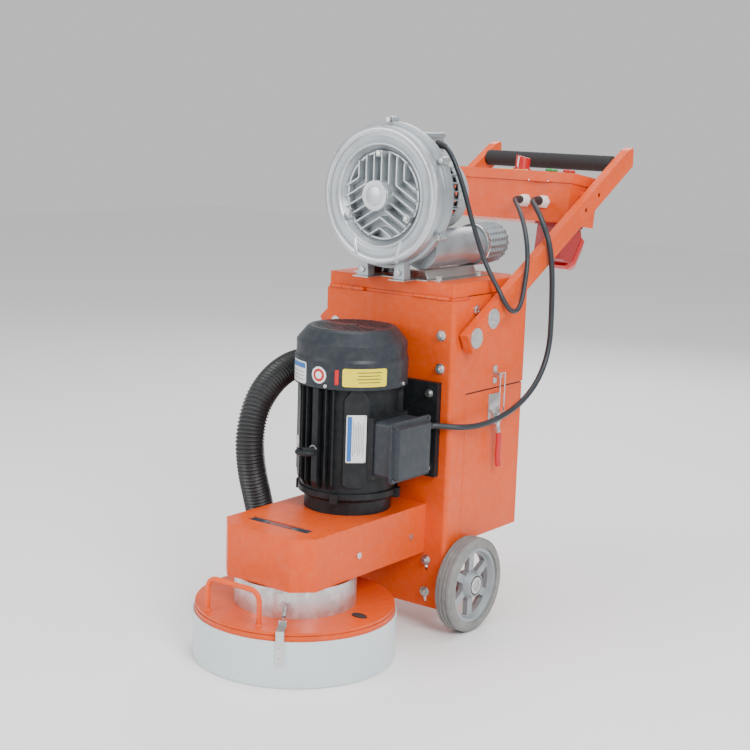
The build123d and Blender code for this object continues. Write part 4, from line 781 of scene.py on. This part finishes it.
# ------------------------------------------------------------------ motor details
COWL_AXIS = (0, MOTOR_Y)
COWL_RADIUS = 0.1150
PRINT_RADIUS = 0.1154  # what is printed on a label lies on it
PRINT_TOP_RADIUS = 0.1157
bent_label("cowl_label_yellow", COWL_AXIS, COWL_RADIUS, 52, 0.556, 0.092, 0.036, label_yellow, "root")
for row in range(4):
    bent_label(f"cowl_label_rule_{row}", COWL_AXIS, PRINT_RADIUS, 56, 0.5665 - 0.0065 * row,
               0.052 - 0.006 * (row % 2),
               0.0014, black_plastic, "root", 0.0003, 0.0004)
bent_label("cowl_label_band", COWL_AXIS, PRINT_RADIUS, 23.5, 0.556, 0.008, 0.030, label_red, "root", 0.0003,
           0.001)
bent_label("cowl_label_round_back", COWL_AXIS, COWL_RADIUS, 4, 0.557, 0.034, 0.034, label_white, "root",
           0.0004, 0.0168)
bent_label("cowl_label_round", COWL_AXIS, PRINT_RADIUS, 4, 0.557, 0.026, 0.026, label_red, "root", 0.0003,
           0.0128)
bent_label("cowl_label_round_middle", COWL_AXIS, PRINT_TOP_RADIUS, 4, 0.557, 0.015, 0.015, label_white,
           "root", 0.0003, 0.0073)
bent_label("cowl_label_blue", COWL_AXIS, COWL_RADIUS, -28, 0.556, 0.060, 0.044, label_white, "root")
bent_label("cowl_label_blue_band", COWL_AXIS, PRINT_RADIUS, -28, 0.570, 0.054, 0.010, label_blue, "root",
           0.0003, 0.001)
for row in range(3):
    bent_label(f"cowl_label_line_{row}", COWL_AXIS, PRINT_RADIUS, -28, 0.557 - 0.0075 * row, 0.048, 0.0016,
               grey_plastic,
               "root", 0.0003, 0.0004)
for index in range(4):
    a = radians(12 + 90 * index)
    ray = Vector((sin(a), -cos(a), 0))
    screw(f"cowl_screw_{index}", Vector((0, MOTOR_Y, 0.5365)) + ray * 0.1148, ray, 0.0042, "root")
turned("cowl_hub_cap", [(0, 0.0012), (0.012, 0.0012), (0.014, 0), (0, 0)], (0, MOTOR_Y, 0.644), Z, slate_cowl,
       "root",
       32)

PAD_ANGLE = radians(45)
PAD_RADIUS = 0.1041
pad_ray = Vector((sin(PAD_ANGLE), -cos(PAD_ANGLE), 0))
pad_side = Vector((cos(PAD_ANGLE), sin(PAD_ANGLE), 0))
pad_spot = Vector((0, MOTOR_Y, 0.432)) + pad_ray * PAD_RADIUS
slab("motor_nameplate", rounded_box(0.040, 0.096, 0.002), 0.0009, pad_spot, pad_side, Z, label_white, "root",
     0.0003)
slab("motor_nameplate_band", rounded_box(0.009, 0.090, 0.001), 0.0003,
     pad_spot + pad_ray * 0.0009 - pad_side * 0.0135,
     pad_side, Z, label_blue, "root")
for row in range(7):
    slab(f"motor_nameplate_rule_{row}", rounded_box(0.0012, 0.070 - 0.008 * (row % 3), 0.0004), 0.0003,
         pad_spot + pad_ray * 0.0009 + pad_side * (-0.006 + 0.0034 * row), pad_side, Z, grey_plastic, "root")
for index, (x, z) in enumerate(((-1, -1), (-1, 1), (1, -1), (1, 1))):
    screw(f"nameplate_rivet_{index}", pad_spot + pad_ray * 0.0009 + pad_side * 0.0175 * x + Z * 0.0455 * z,
          pad_ray,
          0.0016, "root")
other_ray = Vector((-sin(PAD_ANGLE), -cos(PAD_ANGLE), 0))
other_spot = Vector((0, MOTOR_Y, 0.405)) + other_ray * PAD_RADIUS
turned("frame_plug", [(0, 0.004), (0.009, 0.004), (0.012, 0.002), (0.013, 0), (0, 0)], other_spot, other_ray,
       label_white, "root", 32)

# tapered strain reliefs follow the cables out of their glands
for name, points, cable_radius, body in (
    ("terminal_strain_relief", MOTOR_CABLE, 0.0060, "root"),
    ("blower_strain_relief", BLOWER_CABLE, 0.0050, "lid"),
    ("control_strain_relief_0", MOTOR_CABLE[::-1], 0.0060, "root"),
    ("control_strain_relief_1", BLOWER_CABLE[::-1], 0.0050, "root"),
):
    line = even(follow(points), 0.001)[:25]

    def taper(k, share):
        ribs = 0.0004 * sin(2 * pi * k / 4) * (1 - share)
        return ring_points(cable_radius * (1.75 - 0.62 * share) + ribs, 28)

    swept(name, line, taper, black_rubber, body, start_side=(0, 0, 1))

# ring clamp where the suction elbow meets the blower
rolled("suction_clamp", [(0.0349, 0.0002), (0.0372, 0.0002), (0.0378, 0.0012), (0.0378, 0.0078),
                         (0.0372, 0.0088),
                         (0.0349, 0.0088)], (-0.062, HEAD_Y + 0.3475, 0.794), Y, bright_steel, "lid", 56)

# ------------------------------------------------------------------ chassis, wheels and tank
for side_name, sign in (("left", -1), ("right", 1)):
    outward = X * sign
    centre = Vector((sign * 0.208, AXLE_Y, 0.1))
    rolled(f"hub_ring_{side_name}", [(0.0125, -0.0185), (0.0235, -0.0185), (0.0235, -0.0005), (0.021, 0.0006),
                                     (0.0125, 0.0006)], centre, outward, black_plastic, f"wheel_{side_name}",
           40)
    rolled(f"axle_washer_{side_name}", [(0.0121, 0.0007), (0.0175, 0.0007), (0.0175, 0.0010),
                                        (0.0121, 0.0010)],
           centre, outward, zinc, f"wheel_{side_name}", 32)

lock_spot = Vector((0.1652, HEAD_Y + 0.3595, 0.674))
rolled("lid_lock_ring", [(0.0035, 0), (0.0110, 0), (0.0105, 0.0030), (0.0085, 0.0042), (0.0035, 0.0042)],
       lock_spot,
       X, bright_steel, "root", 36)
turned("lid_lock_barrel", [(0, 0.0030), (0.0034, 0.0030), (0.0034, 0), (0, 0)], lock_spot, X, turned_steel,
       "root", 28)
# the key slot is a thin black plate on the barrel's face: painted shade standing in for the recess, not a cut
slab("lid_lock_slot_shade", rounded_box(0.0012, 0.0046, 0.0004), 0.0003, lock_spot + X * 0.0031, Y, Z, painted_shade_black,
     "root")

for side_name, sign in (("left", -1), ("right", 1)):
    path = [(sign * x * MM, HEAD_Y + 0.440, z * MM) for x, z in
            ((182.2, 407), (183.6, 396), (184.0, 382), (183.3, 366), (183.2, 352), (184.6, 343),
             (186.2, 335))]

    def sleeve(k, share):
        plump = 1.0 + 0.10 * sin(pi * share)
        return [(x, y) for x, y in rounded_box(0.0150 * plump, 0.0064 * plump, 0.0030)]

    swept(f"latch_grip_{side_name}", path, sleeve, red_grip, f"latch_lever_{side_name}", start_side=(0, 1, 0))

# seal on the bin's rim
BIN_FRONT, BIN_REAR = HEAD_Y + 0.3335, HEAD_Y + 0.556


def frame_ring(name, half_x, half_y, centre_y, low, high, thick, corner, material, body):
    """A rectangular ring with round corners, such as a seal."""
    outer = rounded_box(2 * half_x, 2 * half_y, corner)
    inner = rounded_box(2 * (half_x - thick), 2 * (half_y - thick), max(corner - thick, 0.001))
    n = len(outer)
    verts = [Vector((x, centre_y + y, z)) for z in (low, high) for x, y in outer + inner]
    faces = []
    for k in range(n):
        m = (k + 1) % n
        faces.append((k, m, 2 * n + m, 2 * n + k))
        faces.append((n + k, 3 * n + k, 3 * n + m, n + m))
        faces.append((k, n + k, n + m, m))
        faces.append((2 * n + k, 2 * n + m, 3 * n + m, 3 * n + k))
    return obj(name, mesh_from(name, verts, faces), material, body)


frame_ring("bin_rim_seal", 0.1632, 0.1095, (BIN_FRONT + BIN_REAR) / 2, 0.5001, 0.5025, 0.0075, 0.005,
           seal_rubber, "bin")

# pleated filter cartridge in place of the plain one
FILTER = Vector((0, HEAD_Y + 0.445, 0))


def filter_mesh():
    pleats, outer, inner, low, high = 64, 0.0650, 0.0560, 0.523, 0.6425
    verts, faces = [], []
    count = pleats * 2
    for z in (low, high):
        for k in range(count):
            r = outer if k % 2 else inner
            a = 2 * pi * k / count
            verts.append(FILTER + Vector((r * cos(a), r * sin(a), z)))
    for k in range(count):
        m = (k + 1) % count
        faces.append((k, m, count + m, count + k))
    faces.append(tuple(range(count)))
    faces.append(tuple(range(count, 2 * count)))
    return mesh_from("filter_pleats", verts, faces)


pleats = obj("filter_pleats", filter_mesh(), filter_paper, "root", smooth=False)
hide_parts("filter_cartridge")
turned("filter_end_cap", [(0, 0), (0.0640, 0), (0.0655, 0.002), (0.0655, 0.006), (0, 0.006)],
       FILTER + Z * 0.517, Z, black_plastic, "root", 64)
rolled("filter_collar", [(0.034, 0.6432), (0.0770, 0.6432), (0.0770, 0.649), (0.0740, 0.6510),
                         (0.037, 0.6510)],
       FILTER, Z, seal_rubber, "root", 64)
turned("filter_core", [(0, 0.0), (0.0338, 0.0), (0.0338, 0.0050), (0, 0.0050)], FILTER + Z * 0.6426, Z, gauze,
       "root",
       48)

# ------------------------------------------------------------------ blower details
for index, angle in enumerate((90, 210, 330)):
    a = radians(angle)
    spot = Vector((0.0842 * cos(a), BLOWER_Y - 0.002, BLOWER_Z + 0.0842 * sin(a)))
    slab(f"guard_bolt_{index}", hexagon(0.0058), 0.0045, spot, X, Z, zinc, "lid", 0.0008)
for index, x in enumerate((-0.046, 0.046)):
    slab(f"foot_bolt_{index}", hexagon(0.0062), 0.0050, (x, BLOWER_Y + 0.0168, 0.7475), X, Z, zinc, "lid",
         0.0008)
turned("guard_hub_cap", [(0, 0.0016), (0.017, 0.0016), (0.0205, 0), (0, 0)],
       (0, BLOWER_Y - 0.0140, BLOWER_Z), -Y, guard_cast, "lid", 40)
for index, x in enumerate((-0.033, 0.033)):
    for row, y in enumerate((-0.029, 0.029)):
        screw(f"blower_box_screw_{index}_{row}", (x, BLOWER_BOX_Y + y, 1.02885), Z, 0.0032, "lid",
              height=0.0014)
slab("blower_plate", rounded_box(0.046, 0.030, 0.002), 0.0008, (-0.0395, BLOWER_BOX_Y, 1.004), -Y, Z,
     label_white,
     "lid", 0.0002)

def crest(inner, outer, height, seat):
    """Profile of a half-round ridge on the blower's face, its foot a little under the surface."""
    points = [(outer, -seat - 0.002), (inner, -seat - 0.002)]
    for step in range(13):
        share = step / 12
        points.append((inner + (outer - inner) * share, -seat + height * sin(pi * share) - 0.0005))
    return points


rolled("blower_outer_crest", crest(0.1235, 0.1415, 0.0042, 0.0030), (0, BLOWER_Y, BLOWER_Z), -Y, guard_cast,
       "lid", 96)
rolled("blower_inner_crest", crest(0.1000, 0.1080, 0.0040, 0.0050), (0, BLOWER_Y, BLOWER_Z), -Y, guard_cast,
       "lid", 96)
for index, sign in enumerate((-1, 1)):
    spots = [(0.0585, -0.0890, 0.0045), (0.0565, -0.1010, 0.0015), (0.0530, -0.1130, 0.0002),
             (0.0500, -0.1230, 0.0016),
             (0.0470, -0.1320, 0.0060)]
    path = [(sign * x, BLOWER_Y + y, BLOWER_Z + z) for x, z, y in spots]
    swept(f"blower_chin_{index}", path, lambda k, share: ring_points(0.0042, 20, 0.95), guard_cast, "lid",
          start_side=(1, 0, 0))

# painted sleeve of the motor's lifting eye
EYE = Vector((0, MOTOR_Y - 0.1130, 0.405))
rolled("lifting_eye_ring", [(0.017 + 0.0054 * cos(pi * k / 10), 0.0054 * sin(pi * k / 10))
                            for k in range(20)],
       EYE - Y * 0.025, Z, slate, "root", 48)
turned("lifting_eye_boss", [(0, 0.0060), (0.0070, 0.0060), (0.0104, 0.0030), (0.0104, -0.004), (0, -0.004)],
       EYE, -Y,
       slate, "root", 32)

MUFFLER_X, MUFFLER_Z = 0.062, 0.794
MUFFLER_START, MUFFLER_END = HEAD_Y + 0.4855, HEAD_Y + 0.5895


def muffler_mesh():
    """Quilted silencer sleeve: rows of leaf-shaped dimples, a rounded end and a slight upward bow."""
    around, rows = 180, 90
    radius, start, end = 0.0418, MUFFLER_START, MUFFLER_END
    verts, faces = [], []
    for row in range(rows + 1):
        share = row / rows
        y = start + (end - start) * share
        shoulder = max(0.0, (share - 0.70) / 0.30)
        r = radius * sqrt(max(0.0, 1 - 0.90 * shoulder**2.4))
        for k in range(around):
            a = 2 * pi * k / around
            leaf = cos(9 * a + 30 * share) * cos(9 * a - 30 * share)
            swell = 0.0034 * leaf * min(1, 8 * share) * (1 - shoulder * 0.5)
            lift = 0.004 * share**2
            verts.append(Vector((MUFFLER_X + (r + swell) * cos(a), y,
                                 MUFFLER_Z + lift + (r + swell) * sin(a))))
    for row in range(rows):
        for k in range(around):
            a, b = row * around + k, row * around + (k + 1) % around
            faces.append((a, b, b + around, a + around))
    faces.append(tuple(range(around)))
    faces.append(tuple(range(rows * around, (rows + 1) * around)))
    return mesh_from("muffler_sleeve", verts, faces)


muffler = obj("muffler_sleeve", muffler_mesh(), silencer_foil, "lid")
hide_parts("muffler")
rolled("muffler_band", [(0.0395, 0), (0.0440, 0), (0.0446, 0.0012), (0.0446, 0.0085), (0.0440, 0.0097),
                        (0.0395, 0.0097)],
       (MUFFLER_X, HEAD_Y + 0.4862, MUFFLER_Z), Y, bright_steel, "lid", 56)

# ------------------------------------------------------------------ handle and control box
GRIP = Vector((0, HEAD_Y + 0.903, 0.966))
grip_profile = [(0.01255, -0.1700), (0.0160, -0.1700), (0.0180, -0.1685), (0.0185, -0.1650)]
grip_profile += [(0.0185 + 0.00012 * sin(k * 1.9), -0.165 + 0.33 * k / 60) for k in range(1, 60)]
grip_profile += [(0.0185, 0.1650), (0.0180, 0.1685), (0.0160, 0.1700), (0.01255, 0.1700)]
grip = rolled("foam_grip_sleeve", grip_profile, GRIP, X, foam_black, "root", 48)
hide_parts("foam_grip")


def on_panel(x, back, height):
    return PANEL + X * x + PANEL_BACK * back + PANEL_UP * height


slab("switch_plate", rounded_box(0.080, 0.080, 0.005), 0.0026, on_panel(-0.010, 0.055, 0.1121), X, PANEL_BACK,
     yellow_plastic, "control_lid", 0.0006)
for index, (x, y) in enumerate(((-1, -1), (-1, 1), (1, -1), (1, 1))):
    screw(f"switch_plate_screw_{index}", on_panel(-0.010 + 0.033 * x, 0.055 + 0.033 * y, 0.1147), PANEL_UP,
          0.0030,
          "control_lid", height=0.0016)
for index in range(5):
    a = radians(-60 + 30 * index)
    spot = on_panel(-0.010 + 0.029 * sin(a), 0.055 - 0.029 * cos(a), 0.1147)
    u = X * cos(a) + PANEL_BACK * sin(a)
    v = PANEL_UP.cross(u)
    slab(f"dial_mark_{index}", rounded_box(0.0016, 0.0060, 0.0004), 0.0004, spot, u, v, black_plastic,
         "control_lid")
slab("knob_pointer", rounded_box(0.0030, 0.0240, 0.0010), 0.0012, on_panel(-0.010, 0.0345, 0.1340), X,
     PANEL_UP,
     label_white, "switch_knob")
for name, x in (("start", 0.070), ("stop", 0.116)):
    rolled(f"{name}_bezel", [(0.0146, 0), (0.0180, 0), (0.0177, 0.0026), (0.0166, 0.0038), (0.0146, 0.0038)],
           on_panel(x, 0.053, 0.1121), PANEL_UP, bright_steel, "control_lid", 44)
for index, x in enumerate((0.051, 0.101)):
    turned(f"lid_pin_{index}", [(0, 0.003), (0.0014, 0.003), (0.0022, 0.0015), (0.0022, 0), (0, 0)],
           on_panel(x, -0.0075, 0.0905), -PANEL_BACK, zinc, "control_lid", 16)

# ------------------------------------------------------------------ floor and light
floor_mesh = bpy.data.meshes.new("floor")
floor_mesh.from_pydata([(-9, -9, 0), (9, -9, 0), (9, 9, 0), (-9, 9, 0)], [], [(0, 1, 2, 3)])
floor = bpy.data.objects.new("floor", floor_mesh)
bpy.context.scene.collection.objects.link(floor)
floor_paint = bpy.data.materials.new("floor_paint")
floor_paint.use_nodes = True
floor_paint.node_tree.nodes["Principled BSDF"].inputs["Base Color"].default_value = (0.93, 0.93, 0.93, 1)
floor_paint.node_tree.nodes["Principled BSDF"].inputs["Roughness"].default_value = 0.9
floor_mesh.materials.append(floor_paint)

world = bpy.data.worlds.new("studio")
world.use_nodes = True
world.node_tree.nodes["Background"].inputs["Color"].default_value = (1.0, 1.0, 1.0, 1)
world.node_tree.nodes["Background"].inputs["Strength"].default_value = 0.70
bpy.context.scene.world = world


def softbox(name, spot, target, size, power):
    data = bpy.data.lights.new(name, "AREA")
    data.shape = "RECTANGLE"
    data.size, data.size_y = size
    data.energy = power
    lamp = bpy.data.objects.new(name, data)
    lamp.location = spot
    lamp.rotation_euler = (Vector(target) - Vector(spot)).to_track_quat("-Z", "Y").to_euler()
    bpy.context.scene.collection.objects.link(lamp)


softbox("key", (2.9, -1.6, 2.6), (0, 0, 0.5), (1.5, 1.5), 130)
softbox("fill", (-1.6, -3.2, 1.8), (0, 0, 0.5), (1.8, 1.8), 60)
softbox("top", (0, 0.2, 3.6), (0, 0, 0.4), (2.6, 2.6), 75)
softbox("back", (-1.2, 3.0, 2.2), (0, 0, 0.7), (1.6, 1.6), 40)
